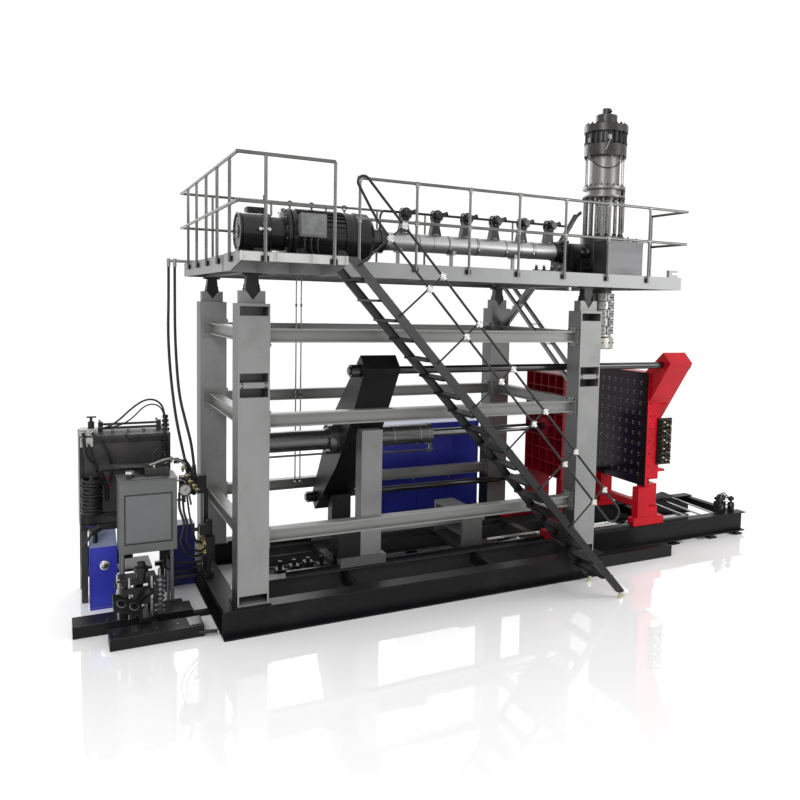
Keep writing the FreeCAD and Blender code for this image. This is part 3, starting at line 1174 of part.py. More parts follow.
def make_clamp_drive():
    """The clamp cylinder through the rear yoke, its rod, and the block that ties both halves' travel."""
    centre = (MIDDLE, "clamp_axis")
    start = f"({YOKE_LEFT} - 1420)"
    length = "(1420 + yoke_width + 1025)"
    bore = "(barrel_tube - 32)"
    tube = [
        ("0", "0"), ("barrel_tube", "0"), ("barrel_tube", "1279"), ("barrel_tube + 70", "1279"),
        ("barrel_tube + 70", "1419.7"), ("barrel_tube", "1419.7"), ("barrel_tube", f"{length} - 60"),
        ("barrel_tube + 12", f"{length} - 60"), ("barrel_tube + 12", length), ("rod_radius + 0.1", length),
        ("rod_radius + 0.1", f"{length} - 70"), (bore, f"{length} - 70"), (bore, "60"), ("0", "60"),
    ]
    cylinder_body = turned_body(tube, (start, *centre), "x")
    feed_at = (f"{start} + 380", MIDDLE, "clamp_axis - 215")
    feed = cylinder(feed_at, "16", "1420 - 380", "x")
    lug = block((f"{start} + 380", f"{MIDDLE} - 12", "clamp_axis - 215"), (30, 24, 215))
    casing = cut(lug, cylinder((start, *centre), "barrel_tube", "600", "x"))
    node("clamp_cylinder", group(cylinder_body, fuse(feed, casing)))
    rod_start = f"({start} + 1530)"
    stop = f"({LEFT_FACE} - left_platen_thick + 199 - {rod_start})"
    rod = [
        ("0", "0"), (f"{bore} - 0.1", "0"), (f"{bore} - 0.1", "110"), ("rod_radius", "110"),
        ("rod_radius", stop), ("0", stop),
    ]
    node("clamp_rod", turned_body(rod, (rod_start, *centre), "x"))
    tall = f"(920 - {BED_TOP})"
    left = f"({SYNC_X} - 175)"
    cheeks = []
    for y in (f"{MIDDLE} - 517.5", f"{MIDDLE} + 457.5"):
        cheeks.append(block((left, y, BED_TOP), (350, 60, tall)))
    for z in (f"{BED_TOP} + {tall} - 45", f"{BED_TOP} + 150"):
        cheeks.append(block((left, f"{MIDDLE} - 457.5", z), (350, 915, 45)))
    pin = cylinder((SYNC_X, MIDDLE, f"{BED_TOP} + 150"), "18", f"{tall} - 170")
    node("sync_block", fuse(*cheeks, pin))
    node("sync_pinion", ring((SYNC_X, MIDDLE, f"{SHOE_TOP} + 97"), "pinion_radius", "18.08", "46"))
    manifold_x = f"{RIGHT_FACE} + right_plate"
    manifold_y = f"({MIDDLE} - platen_width / 2 - 40)"
    plate = block((f"{manifold_x} - 60", manifold_y, "1480"), (300, 39.7, 820))
    ports = []
    for index in range(8):
        z = f"1530 + 100 * {index}"
        ports.append(cylinder((f"{manifold_x} + 60", f"{manifold_y} - 90", z), "17", "91", "y"))
        ports.append(cylinder((f"{manifold_x} + 150", f"{manifold_y} - 70", z), "17", "71", "y"))
    node("platen_manifold", fuse(plate, *ports))


# Units beside the clamp: skid, oil box, side tank, pump box, blow pin unit; the rear cabinet.

UNIT_X = "(0 - unit_gap - unit_width)"


def make_left_unit():
    skid = [block(("0 - 1800", "800", "0"), (1400, 345, 150))]
    skid.append(block(("0 - 1270", "1145", "0"), (790, 130, 150)))
    skid.append(block(("0 - 1420", "250", "0"), (1070, 350, 140)))
    skid.append(block(("0 - 1000", "600", "40"), (160, 200, 90)))
    skid.append(block(("0 - 400", "900", "0"), ("400 - base_overhang", 100, 60)))
    node("unit_skid", group(*skid))
    at = (UNIT_X, "unit_front", "unit_foot")
    box = block(at, ("unit_width", "unit_depth", "unit_height"))
    inset_at = (f"{UNIT_X} + 60", "unit_front", "unit_foot + 120")
    inset = block(inset_at, ("unit_width - 120", 12, "unit_height - 300"))
    lid_at = (f"{UNIT_X} - 12", "unit_front - 12", "unit_foot + unit_height")
    lid = block(lid_at, ("unit_width + 24", "unit_depth + 24", 14))
    cap = cylinder((f"{UNIT_X} + 140", "unit_front + 130", "unit_foot + unit_height + 14"), "48", "70")
    manifold = block((f"{UNIT_X} + 320", "unit_front + 120", "unit_foot + unit_height + 14"), (300, 160, 110))
    tubes = []
    for x, y in (("40", "30"), ("640", "30"), ("40", "440"), ("640", "440")):
        base = "0" if y == "440" else "150"
        tubes.append(cylinder((f"{UNIT_X} + {x}", f"unit_front + {y}", base), "21", f"unit_foot - {base}"))
    node("oil_box", group(fuse(cut(box, inset), lid, cap, manifold), *tubes))
    side = ("0 - 1670", "2000", "tank_foot")
    tank = block(side, ("tank_width", 700, "tank_height"))
    lid = "tank_foot + tank_height"
    top = [block(("0 - 1540", "2120", lid), (60, 160, 120))]
    top.append(cylinder(("0 - 568", "2175", lid), "20", "66"))
    top.append(cylinder(("0 - 570", "2240", lid), "18", "66"))
    for x in ("0 - 1420", "0 - 660"):
        top.append(block((x, "2380", lid), (60, 80, 130)))
    for z in (40, 95):
        top.append(cylinder(("0 - 1400", "2420", f"{lid} + {z}"), "17", "780", "x"))
    for index in range(4):
        top.append(cylinder(("0 - 540", "2400", f"{lid} - 30 + {62 * index}"), f"{58 - 6 * index}", "38"))
    top.append(cylinder(("0 - 540", "2400", f"{lid} - 60"), "30", "260"))
    bottle = turned_body(
        [
            ("0", "0"), ("60", "0"), ("100", "40"), ("100", "390"), ("60", "450"), ("28", "465"),
            ("28", "520"), ("0", "520"),
        ],
        ("0 - 1530", "1870", "1270"),
    )
    bracket = block(("0 - 1590", "1969", "1450"), (130, 32, 60))
    legs = []
    for x in ("0 - 1660", "0 - 600"):
        for y in ("2010", "2610"):
            legs.append(block((x, y, "0"), (80, 80, "tank_foot")))
    motor = cylinder(("0 - 1600", "2300", "560"), "150", "420", "x")
    pump = cylinder(("0 - 1180", "2300", "560"), "90", "180", "x")
    shelf = block(("0 - 1660", "2090", "340"), (900, 520, 40))
    cradle = cut(
        block(("0 - 1560", "2180", "380"), (340, 240, 120)),
        cylinder(("0 - 1700", "2300", "560"), "149", "700", "x"),
    )
    drain_length = "601 - base_overhang + base_beam_width / 2 - web_thick / 2 - 0.3"
    drain = cylinder(("0 - 601", "2060", "180"), "30", drain_length, "x")
    node("side_tank", fuse(drain, tank, *top, bottle, bracket, *legs, motor, pump, shelf, cradle))
    side = [("1700", "0"), ("1990", "0"), ("1990", "1010"), ("1950", "1010"), ("1700", "850")]
    pump_box = padded_body("YZ_Plane", side, "330", ("0 - 1570", "0", "0"))
    grille = ring(("0 - 1390", "1685", "600"), "75", "60", "15", "y")
    elbow = cylinder(("0 - 1530", "1970", "1009"), "20", "70")
    handle = block(("0 - 1600", "1955", "1070"), (160, 26, 8))
    feed = cylinder(("0 - 1390", "1989", "360"), "22", "100.7", "y")
    second = block(("0 - 520", "2200", "0"), ("520 - base_overhang", 300, 900))
    hose_stub = block(("0 - 700", "2300", "300"), (181, 60, 60))
    node("pump_box", group(fuse(pump_box, grille, elbow, handle, feed), second, hose_stub))
    frame = []
    for x in ("0 - 1190", "0 - 890"):
        for y in ("870", "1110"):
            frame.append(cylinder((x, y, "150"), "25", "430"))
    plate = block(("0 - 1250", "810", "580"), (420, 360, 40))
    sleeve = ring(("0 - 1040", "990", "470"), "60", "30.1", "110")
    bracket = block(("0 - 1250", "770", "330"), (420, 40, 220))
    holes = [cylinder((f"0 - {x}", "770", "440"), "40", "40", "y") for x in (1160, 920)]
    ties = [block((x, "800", "400"), (50, 60, 60)) for x in ("0 - 1215", "0 - 915")]
    hole = cylinder(("0 - 1040", "990", "470"), "30.1", "200")
    node("blow_unit", cut(fuse(*frame, plate, sleeve, cut(bracket, *holes), *ties), hole))
    pin = [
        ("0", "0"), ("70", "0"), ("70", "40"), ("30", "40"), ("30", "470"), ("45", "470"), ("45", "520"),
        ("14", "560"), ("14", "610"), ("0", "610"),
    ]
    node("blow_pin", turned_body(pin, ("0 - 1040", "990", "200")))


def make_rear_cabinet():
    at = ("3110", "gantry_depth + 330", "0")
    case = block(at, (2090, 560, 2000))
    plinth = block(("3090", "gantry_depth + 320", "0"), (2130, 580, 90))
    duct = block(("3600", "gantry_depth + 40", "0"), (400, 280, 70))
    node("rear_cabinet", group(fuse(case, plinth), duct))


# Hoses: each follows its own line of points between two fixed fittings.

HOSES = {
    "hose_long_rear": (20, [
        (-414, 2990, 4660), (-414, 2990, 4190), (-447, 2820, 3714), (-463, 2537, 3254),
        (-451, 2260, 2755), (-422, 1979, 2331), (-370, 1690, 1952),
    ]),
    "hose_long_front": (20, [
        (-335, 2930, 4660), (-335, 2930, 4170), (-354, 2780, 3690), (-368, 2510, 3190),
        (-362, 2270, 2760), (-301, 2050, 2400), (-255, 1830, 2110), (-262, 1630, 1880),
    ]),
    "hose_arch_high": (13, [
        (-1480, 2160, 2372), (-1345, 2160, 2372), (-1180, 2163, 2470), (-1010, 2166, 2640),
        (-830, 2170, 2765), (-665, 2173, 2745), (-568, 2175, 2590), (-568, 2175, 2366),
    ]),
    "hose_arch_low": (10, [
        (-1480, 2240, 2372), (-1310, 2240, 2372), (-1130, 2240, 2400), (-980, 2240, 2500),
        (-860, 2240, 2640), (-740, 2240, 2690), (-625, 2240, 2645), (-570, 2240, 2520), (-570, 2240, 2366),
    ]),
}


def make_hoses():
    """The hoses, and the manifold that the two long ones come down to."""
    for name, (radius, points) in HOSES.items():
        shaped(name, swept_tube([FreeCAD.Vector(*point) for point in points], radius))
    body = block(("0 - 460", "1480", "1560"), (340, 160, 200))
    post = block(("0 - 150", "1530", "base_height"), (60, 60, "1561 - base_height"))
    shelf = block(("0 - 460", "1530", "1500"), (370, 60, 60))
    gauge = cylinder(("0 - 395", "1425", "1610"), "52", "56", "y")
    fittings = []
    for name in ("hose_long_rear", "hose_long_front"):
        radius, points = HOSES[name]
        end = FreeCAD.Vector(*points[-1])
        course = (end - FreeCAD.Vector(*points[-2])).normalize()
        fitting = doc.addObject("Part::Cylinder", "Fitting")
        bind(fitting, Radius=radius + 7, Height=(end.z - 1700) / -course.z)
        fitting.Placement = FreeCAD.Placement(end, FreeCAD.Rotation(FreeCAD.Vector(0, 0, 1), course))
        fittings.append(fitting)
    node("feed_manifold", fuse(body, post, shelf, gauge, *fittings))


def build():
    make_gantry_base()
    make_columns()
    make_girders()
    make_column_heads()
    make_platform()
    make_guardrails()
    make_stair()
    make_handrail()
    make_castors()
    make_extruder()
    make_drive()
    make_head()
    make_bed()
    make_outer_frame()
    make_inner_frame()
    make_clamp_drive()
    make_left_unit()
    make_rear_cabinet()
    make_hoses()


def save():
    doc.recompute()
    for item in doc.Objects:
        if "Invalid" in item.State or "Error" in item.State:
            raise RuntimeError(f"{item.Label} ({item.Name}): {item.State}")
    os.makedirs("parts", exist_ok=True)
    for item in PARTS:
        shape = item.Shape
        if shape.isNull() or not shape.isValid():
            raise RuntimeError(f"{item.Label}: no valid shape")
        shape.exportStep(f"parts/{item.Label}.step")
        box = shape.BoundBox
        print(
            f"{item.Label:18s} {len(shape.Solids):3d} solids  x {box.XMin:8.1f} {box.XMax:8.1f}  "
            f"y {box.YMin:8.1f} {box.YMax:8.1f}  z {box.ZMin:8.1f} {box.ZMax:8.1f}"
        )


build()
save()
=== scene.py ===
from math import cos, pi, radians, sin
import bpy
import bmesh
from mathutils import Matrix, Vector


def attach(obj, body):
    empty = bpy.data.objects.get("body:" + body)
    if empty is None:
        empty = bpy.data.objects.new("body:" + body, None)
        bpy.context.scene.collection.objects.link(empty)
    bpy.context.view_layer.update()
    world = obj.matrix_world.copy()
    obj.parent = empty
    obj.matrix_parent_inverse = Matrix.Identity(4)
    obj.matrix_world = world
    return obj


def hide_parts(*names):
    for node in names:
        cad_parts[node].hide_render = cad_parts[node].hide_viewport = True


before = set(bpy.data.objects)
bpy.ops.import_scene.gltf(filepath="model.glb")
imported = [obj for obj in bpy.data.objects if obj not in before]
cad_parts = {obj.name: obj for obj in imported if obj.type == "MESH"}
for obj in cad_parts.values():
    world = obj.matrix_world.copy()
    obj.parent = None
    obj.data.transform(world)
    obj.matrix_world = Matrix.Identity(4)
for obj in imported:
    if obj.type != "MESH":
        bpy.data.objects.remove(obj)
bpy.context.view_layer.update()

scene = bpy.context.scene
X, Y, Z = Vector((1, 0, 0)), Vector((0, 1, 0)), Vector((0, 0, 1))


# Camera.

def make_camera():
    yaw, pitch, roll = radians(28.516), radians(-4.32), radians(1.457)
    forward = Vector((sin(yaw) * cos(pitch), cos(yaw) * cos(pitch), sin(pitch)))
    right = Vector((cos(yaw), -sin(yaw), 0))
    up = right.cross(forward)
    across = cos(roll) * right + sin(roll) * up
    above = -sin(roll) * right + cos(roll) * up
    data = bpy.data.cameras.new("camera")
    data.lens = 35.19
    data.sensor_width = 36
    data.shift_x = -0.0949
    data.shift_y = -0.0446
    data.clip_end = 200
    camera = bpy.data.objects.new("camera", data)
    turn = Matrix((across, above, -forward)).transposed().to_4x4()
    camera.matrix_world = Matrix.Translation((-1.969, -9.638, 4.197)) @ turn
    scene.collection.objects.link(camera)
    scene.camera = camera


make_camera()


# Materials: every one has colour variation, roughness variation and bump from noise.

M = {}


def feed(tree, node, inputs):
    """Links each socket among the inputs and sets each plain value."""
    for name, value in inputs.items():
        if isinstance(value, bpy.types.NodeSocket):
            tree.links.new(value, node.inputs[name])
        else:
            node.inputs[name].default_value = value


def add(tree, kind, inputs, **settings):
    node = tree.nodes.new("ShaderNode" + kind)
    for name, value in settings.items():
        setattr(node, name, value)
    feed(tree, node, inputs)
    return node


def ramp(tree, factor, *stops):
    node = add(tree, "ValToRGB", {"Fac": factor})
    for element, (position, colour) in zip(node.color_ramp.elements, stops):
        element.position = position
        element.color = (*colour, 1)
    return node.outputs["Color"]


def material(key, colour, rough, metal, vary, scale, bump, fine=180, dirt=None, streak=(1, 1, 1),
             spread=0.08, specular=0.5, ior=1.45):
    M[key] = made = bpy.data.materials.new(key)
    made.use_nodes = True
    tree = made.node_tree
    place = add(tree, "TexCoord", {}).outputs["Object"]
    drawn = add(tree, "Mapping", {"Vector": place, "Scale": streak}).outputs["Vector"]
    cloud = add(tree, "TexNoise", {"Vector": drawn, "Scale": scale, "Detail": 6}).outputs["Fac"]
    grain = add(tree, "TexNoise", {"Vector": drawn, "Scale": fine, "Detail": 3}).outputs["Fac"]
    base = Vector(colour)
    tone = ramp(tree, cloud, (0.3, base * (1 - vary)), (0.72, base * (1 + vary * 0.6)))
    if dirt:
        spots = add(tree, "TexNoise", {"Vector": place, "Scale": 2.3, "Detail": 8, "Roughness": 0.7})
        mask = ramp(tree, spots.outputs["Fac"], (0.52, (0, 0, 0)), (0.75, (1, 1, 1)))
        mix = add(tree, "Mix", {"Factor": mask, "A": tone, "B": (*dirt, 1)}, data_type="RGBA")
        tone = mix.outputs["Result"]
    gloss = add(tree, "MapRange", {"Value": cloud, "To Min": max(0.03, rough - spread),
                                   "To Max": min(1, rough + spread)})
    ripple = add(tree, "Bump", {"Height": grain, "Strength": bump, "Distance": 0.002})
    feed(tree, tree.nodes["Principled BSDF"], {
        "Base Color": tone, "Roughness": gloss.outputs["Result"], "Normal": ripple.outputs["Normal"],
        "Metallic": metal, "Specular IOR Level": specular, "IOR": ior,
    })


def overlay(key, colour, rough, metal, *spans):
    """A second finish where every span is one: a span is nought at its low value and one at its high. Several
    calls use it to paint light and shade into the colour instead.
    """
    tree = M[key].node_tree
    mask = None
    for source, axis, low, high in spans:
        kind = "NewGeometry" if source == "Normal" else "TexCoord"
        split = add(tree, "SeparateXYZ", {"Vector": add(tree, kind, {}).outputs[source]})
        span = add(tree, "MapRange", {"Value": split.outputs[axis], "From Min": low, "From Max": high})
        share = span.outputs["Result"]
        if mask is not None:
            share = add(tree, "Math", {0: mask, 1: share}, operation="MULTIPLY").outputs[0]
        mask = share
    for name, value, kind in (("Base Color", (*colour, 1), "RGBA"), ("Roughness", rough, "FLOAT"),
                              ("Metallic", metal, "FLOAT")):
        socket = tree.nodes["Principled BSDF"].inputs[name]
        under = socket.links[0].from_socket if socket.links else socket.default_value
        mix = add(tree, "Mix", {"Factor": mask, "A": under, "B": value}, data_type=kind)
        tree.links.new(mix.outputs["Result"], socket)


material("structure_grey", (0.215, 0.22, 0.215), 0.42, 0.3, 0.12, 1.6, 0.06, dirt=(0.17, 0.17, 0.165))
material("beam_grey", (0.21, 0.21, 0.205), 0.36, 0.45, 0.14, 2, 0.06, streak=(0.4, 1, 1))
material("base_black", (0.005, 0.005, 0.006), 0.4, 0, 0.4, 2, 0.1, dirt=(0.014, 0.013, 0.013),
         specular=0.22)
material("platform_grey", (0.25, 0.252, 0.252), 0.42, 0.25, 0.1, 2, 0.05)
material("bed_black", (0.005, 0.005, 0.006), 0.4, 0, 0.4, 2, 0.1, dirt=(0.014, 0.013, 0.013),
         specular=0.22)
material("bracket_grey", (0.11, 0.11, 0.108), 0.4, 0.4, 0.14, 3, 0.06)
material("rod_steel", (0.2, 0.2, 0.205), 0.16, 0.95, 0.15, 6, 0.04)
material("stair_black", (0.01, 0.01, 0.011), 0.36, 0.1, 0.3, 2.5, 0.08, specular=0.35)
material("tread_black", (0.012, 0.012, 0.013), 0.3, 0.4, 0.3, 6, 0.4, 70, specular=0.4)
material("deck_plate", (0.12, 0.12, 0.12), 0.45, 0.7, 0.15, 3, 0.3, 60)
material("rail_steel", (0.14, 0.138, 0.135), 0.24, 0.85, 0.2, 3, 0.04)
material("rail_black", (0.008, 0.008, 0.009), 0.26, 0, 0.3, 5, 0.04, specular=0.4)
material("brace_steel", (0.26, 0.26, 0.255), 0.22, 0.9, 0.3, 4, 0.05)
material("clamp_chrome", (0.6, 0.6, 0.58), 0.2, 0.9, 0.15, 9, 0.05)
material("machined_steel", (0.38, 0.38, 0.37), 0.28, 0.9, 0.15, 6, 0.1)
material("cage_rod", (0.1, 0.098, 0.096), 0.2, 0.9, 0.5, 9, 0.05)
material("bar_dark", (0.06, 0.06, 0.062), 0.2, 0.9, 0.15, 3, 0.05)
material("cylinder_dark", (0.13, 0.127, 0.13), 0.22, 0.8, 0.08, 1.5, 0.03, spread=0.03)
material("yoke_black", (0.006, 0.0055, 0.006), 0.42, 0, 0.4, 2, 0.08, dirt=(0.016, 0.014, 0.015),
         specular=0.3)
material("platen_red", (0.42, 0.003, 0.011), 0.38, 0, 0.18, 3, 0.06, specular=0.2)
# Painted shade: a darker copy of platen_red standing in for the shadow on the left platen and its carriage;
# the small red tank fittings use it too.
material("red_painted_shade", (0.2, 0.003, 0.01), 0.42, 0, 0.25, 3, 0.06, specular=0.2)
material("motor_black", (0.008, 0.0075, 0.008), 0.2, 0, 0.3, 5, 0.1, specular=0.5)
material("box_lid", (0.2, 0.202, 0.202), 0.36, 0.5, 0.3, 7, 0.1)
material("shroud", (0.44, 0.44, 0.44), 0.4, 0.85, 0.12, 4, 0.06, streak=(0.3, 2, 2))
material("barrel_steel", (0.06, 0.06, 0.061), 0.3, 0.85, 0.2, 6, 0.08)
material("blower", (0.012, 0.012, 0.013), 0.34, 0.2, 0.3, 9, 0.15, specular=0.4)
material("head_steel", (0.055, 0.053, 0.052), 0.34, 0.75, 0.3, 5, 0.12, dirt=(0.03, 0.028, 0.026))
material("heater_band", (0.3, 0.295, 0.28), 0.3, 0.9, 0.3, 6, 0.1, dirt=(0.12, 0.11, 0.095))
material("die_steel", (0.42, 0.41, 0.375), 0.34, 0.9, 0.2, 7, 0.08)
material("brass", (0.52, 0.42, 0.15), 0.26, 0.95, 0.2, 12, 0.08)
material("cabinet_grey", (0.115, 0.118, 0.119), 0.4, 0.15, 0.1, 2.5, 0.25, 320)
material("panel_grey", (0.13, 0.133, 0.135), 0.38, 0.2, 0.08, 2.5, 0.2, 320)
material("head_box", (0.08, 0.08, 0.082), 0.34, 0.75, 0.25, 1.6, 0.05, streak=(0.3, 1, 5))
material("cabinet_blue", (0.022, 0.03, 0.33), 0.36, 0, 0.18, 2, 0.05, specular=0.4)
material("tank_dark", (0.032, 0.03, 0.03), 0.38, 0.2, 0.4, 4, 0.15, dirt=(0.04, 0.037, 0.034))
material("unit_black", (0.008, 0.008, 0.008), 0.36, 0.3, 0.4, 5, 0.12, dirt=(0.022, 0.021, 0.02))
material("hose_rubber", (0.008, 0.008, 0.008), 0.42, 0, 0.3, 20, 0.3, 90, specular=0.4)
material("cloth_dark", (0.016, 0.016, 0.017), 0.85, 0, 0.5, 5, 0.8, 45)
material("castor_tyre", (0.42, 0.4, 0.2), 0.5, 0, 0.2, 20, 0.1)
material("bolt", (0.22, 0.22, 0.215), 0.3, 0.9, 0.25, 30, 0.1)
material("bolt_dark", (0.022, 0.021, 0.021), 0.36, 0.6, 0.3, 30, 0.1)
material("gauge_face", (0.3, 0.29, 0.27), 0.45, 0, 0.06, 12, 0.05)
material("dark_hole", (0.004, 0.004, 0.004), 0.8, 0, 0.2, 12, 0.05, specular=0.1)
material("floor", (0.93, 0.93, 0.93), 0.03, 0, 0.01, 0.8, 0.003, 40, spread=0.01, ior=2.5)

# Painted light: the stringers grade from black below 1.6 m to dark grey at 4.3 m, standing in for the light
# on their upper part.
overlay("stair_black", (0.055, 0.055, 0.054), 0.4, 0.3, ("Object", "Z", 1.6, 4.3))
overlay("platform_grey", (0.5, 0.5, 0.49), 0.32, 0.6, ("Object", "Y", -0.93, -0.94))
# Painted shade: the platform's downward-facing faces are darkened.
overlay("platform_grey", (0.06, 0.056, 0.056), 0.5, 0.2, ("Normal", "Z", -0.4, -0.8))
overlay("platen_red", (0.02, 0.015, 0.019), 0.16, 0.75,
        ("Normal", "X", -0.85, -0.95), ("Object", "X", 7.126, 7.128), ("Object", "X", 7.134, 7.132))
overlay("platen_red", (0.135, 0.135, 0.133), 0.4, 0.3, ("Object", "X", 4, 3.9))
overlay("bed_black", (0.045, 0.043, 0.043), 0.4, 0.3, ("Object", "X", 6, 5.4))
overlay("head_steel", (0.165, 0.158, 0.152), 0.36, 0.8,
        ("Object", "Z", 6.11, 6.115), ("Object", "Z", 6.822, 6.818))
# Painted shade: faces that look towards -X are darkened, and below 2.4 m they grade further to near black at
# 0.6 m.
overlay("structure_grey", (0.12, 0.12, 0.118), 0.45, 0.3, ("Normal", "X", -0.6, -0.9))
overlay("structure_grey", (0.02, 0.02, 0.02), 0.35, 0.3,
        ("Normal", "X", -0.6, -0.9), ("Object", "Z", 2.4, 0.6))
# Painted shade: the blue boxes are painted black from x -0.75 to -0.525 and dark blue from there to about x
# 0.
overlay("cabinet_blue", (0.012, 0.012, 0.012), 0.4, 0.3,
        ("Object", "X", -0.75, -0.74), ("Object", "X", -0.5, -0.525))
overlay("cabinet_blue", (0.012, 0.014, 0.13), 0.4, 0, ("Object", "X", -0.525, -0.52), ("Object", "X", 0.1, 0))
# Painted light: the blue boxes' upward-facing faces are lightened.
overlay("cabinet_blue", (0.2, 0.23, 0.33), 0.3, 0.1, ("Normal", "Z", 0.3, 0.6))
# Painted shade: the head cabinet's faces that look towards -X are darkened.
overlay("head_box", (0.022, 0.022, 0.024), 0.35, 0.6, ("Normal", "X", -0.6, -0.8))
overlay("cabinet_grey", (0.03, 0.029, 0.028), 0.38, 0.5, ("Object", "Z", 1.826, 1.828))

# The finish of each CAD node, and the width of its edge bevel.

NODE_MATERIALS = {
    "base_black": "gantry_base unit_skid",
    "structure_grey": "columns column_heads outer_rack",
    "beam_grey": "gantry_beams barrel_stands",
    "unit_black": "platform_mounts platen_manifold blow_unit feed_manifold",
    "platform_grey": "platform_frame",
    "deck_plate": "deck_plates",
    "rail_steel": "guardrails",
    "bolt_dark": "post_clamps",
    "stair_black": "stair_stringers",
    "tread_black": "stair_treads",
    "rail_black": "stair_handrail handrail_posts",
    "machined_steel": "castor_fork_front castor_fork_rear extruder_screw injection_rod sync_pinion blow_pin",
    "castor_tyre": "castor_wheel_front castor_wheel_rear",
    "barrel_steel": "extruder_barrel head_adaptor",
    "shroud": "barrel_shrouds",
    "blower": "barrel_blowers",
    "motor_black": "drive_motor motor_housings",
    "box_lid": "terminal_box",
    "head_steel": "head_body die_core injection_cylinder",
    "heater_band": "die_heaters",
    "die_steel": "die_ring",
    "cage_rod": "head_tie_rods",
    "head_box": "head_cabinet",
    "bed_black": "clamp_bed",
    "bar_dark": "bed_rails tie_bars",
    "yoke_black": "rear_yoke",
    "platen_red": "right_platen outer_shoes",
    "red_painted_shade": "left_platen left_carriage",
    "cylinder_dark": "clamp_cylinder",
    "rod_steel": "clamp_rod",
    "bracket_grey": "sync_block",
    "cabinet_grey": "oil_box",
    "tank_dark": "side_tank",
    "cabinet_blue": "pump_box rear_cabinet",
}
BEVELS = {
    0.002: "platform_frame",
    0.003: "gantry_beams die_heaters platen_manifold column_heads platform_mounts",
    0.004: "columns gantry_base clamp_bed left_platen left_carriage outer_rack side_tank die_ring "
           "unit_skid sync_block outer_shoes",
    0.005: "head_cabinet injection_cylinder head_body",
    0.006: "rear_yoke right_platen oil_box pump_box rear_cabinet",
    0.008: "motor_housings",
    0.012: "terminal_box",
}
for key, names in NODE_MATERIALS.items():
    for name in names.split():
        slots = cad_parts[name].data.materials
        slots.clear()
        slots.append(M[key])


# Pieces built in mesh code.

def turned(angle, first=X, second=Y):
    return first * cos(angle) + second * sin(angle)


def steps(first, pitch, count):
    """Evenly spaced values along a line."""
    return [first + pitch * index for index in range(count)]


def circle(count, offset=0):
    """Evenly spaced angles, the first at offset steps."""
    return [2 * pi * (index + offset) / count for index in range(count)]


class Piece:
    """A mesh in the making, with its finish, the body that it rides on and its bevel."""
    every = []

    def __init__(self, name, key, body="frame", bevel=0):
        self.name, self.key, self.body, self.bevel = name, key, body, bevel
        self.mesh = bmesh.new()
        Piece.every.append(self)

    def box(self, low, high):
        low, high = Vector(low), Vector(high)
        spot = Matrix.Translation((low + high) / 2) @ Matrix.Diagonal((*(high - low), 1))
        bmesh.ops.create_cube(self.mesh, size=1, matrix=spot)

    def rod(self, start, end, radius, sides=20):
        start, end = Vector(start), Vector(end)
        turn = Z.rotation_difference(end - start).to_matrix().to_4x4()
        bmesh.ops.create_cone(self.mesh, cap_ends=True, segments=sides, radius1=radius, radius2=radius,
                              depth=(end - start).length, matrix=Matrix.Translation((start + end) / 2) @ turn)

    def stub(self, start, course, radius, sides=20):
        self.rod(start, Vector(start) + course, radius, sides)

    def bolt(self, seat, axis, size=0.012, washer=True, stud=0):
        axis = Vector(axis).normalized()
        if washer:
            self.stub(seat, axis * size * 0.2, size * 1.25, 14)
        self.stub(seat, axis * size * 0.9, size, 6)
        if stud:
            self.stub(seat, axis * (size * 0.9 + stud), size * 0.5, 10)

    def skin(self, rings):
        """Walls between rings of points, and a cap on each end."""
        rings = [[self.mesh.verts.new(point) for point in ring] for ring in rings]
        for low, high in zip(rings, rings[1:]):
            for index in range(len(low)):
                after = (index + 1) % len(low)
                self.mesh.faces.new((low[index], low[after], high[after], high[index]))
        self.mesh.faces.new(rings[0][::-1])
        self.mesh.faces.new(rings[-1])

    def lathe(self, centre, axis, profile, sides=40):
        """A turned shape: profile holds (radius, distance along the axis)."""
        turn = Z.rotation_difference(axis).to_matrix()
        self.skin([[Vector(centre) + turn @ (turned(angle) * radius + Z * along) for angle in circle(sides)]
                   for radius, along in profile])

    def pipe(self, points, radius, sides=10):
        """A round pipe with bent corners."""
        path = smooth_path([Vector(point) for point in points], radius * 3)
        side = (path[1] - path[0]).orthogonal()
        rings = []
        for index, point in enumerate(path):
            ahead = (path[min(index + 1, len(path) - 1)] - path[max(index - 1, 0)]).normalized()
            side = (side - ahead * side.dot(ahead)).normalized()
            over = ahead.cross(side)
            rings.append([point + turned(angle, side, over) * radius for angle in circle(sides)])
        self.skin(rings)

    def prism(self, outline, course):
        """A straight-sided solid: outline points pushed along a course."""
        near = [Vector(point) for point in outline]
        self.skin([near, [point + course for point in near]])

    def finish(self):
        bmesh.ops.recalc_face_normals(self.mesh, faces=self.mesh.faces)
        data = bpy.data.meshes.new(self.name)
        self.mesh.to_mesh(data)
        self.mesh.free()
        data.shade_smooth()
        data.set_sharp_from_angle(angle=radians(38))
        item = show(self.name, data, self.key)
        if self.bevel:
            soften(item, self.bevel)
        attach(item, self.body)


def show(name, data, key):
    item = bpy.data.objects.new(name, data)
    scene.collection.objects.link(item)
    data.materials.append(M[key])
    return item


def smooth_path(points, radius):
    path = [points[0]]
    for before, corner, after in zip(points, points[1:], points[2:]):
        into, away = corner - before, after - corner
        reach = min(radius, into.length * 0.45, away.length * 0.45)
        start = corner - into.normalized() * reach
        end = corner + away.normalized() * reach
        for index in range(7):
            t = index / 6
            path.append(start * (1 - t) ** 2 + corner * 2 * t * (1 - t) + end * t ** 2)
    path.append(points[-1])
    return path


def soften(item, width):
    bevel = item.modifiers.new("bevel", "BEVEL")
    bevel.width = width
    bevel.segments = 2
    bevel.limit_method = "ANGLE"
    bevel.angle_limit = radians(40)
    bevel.harden_normals = False


# Hoses: smooth lines through the CAD routes.

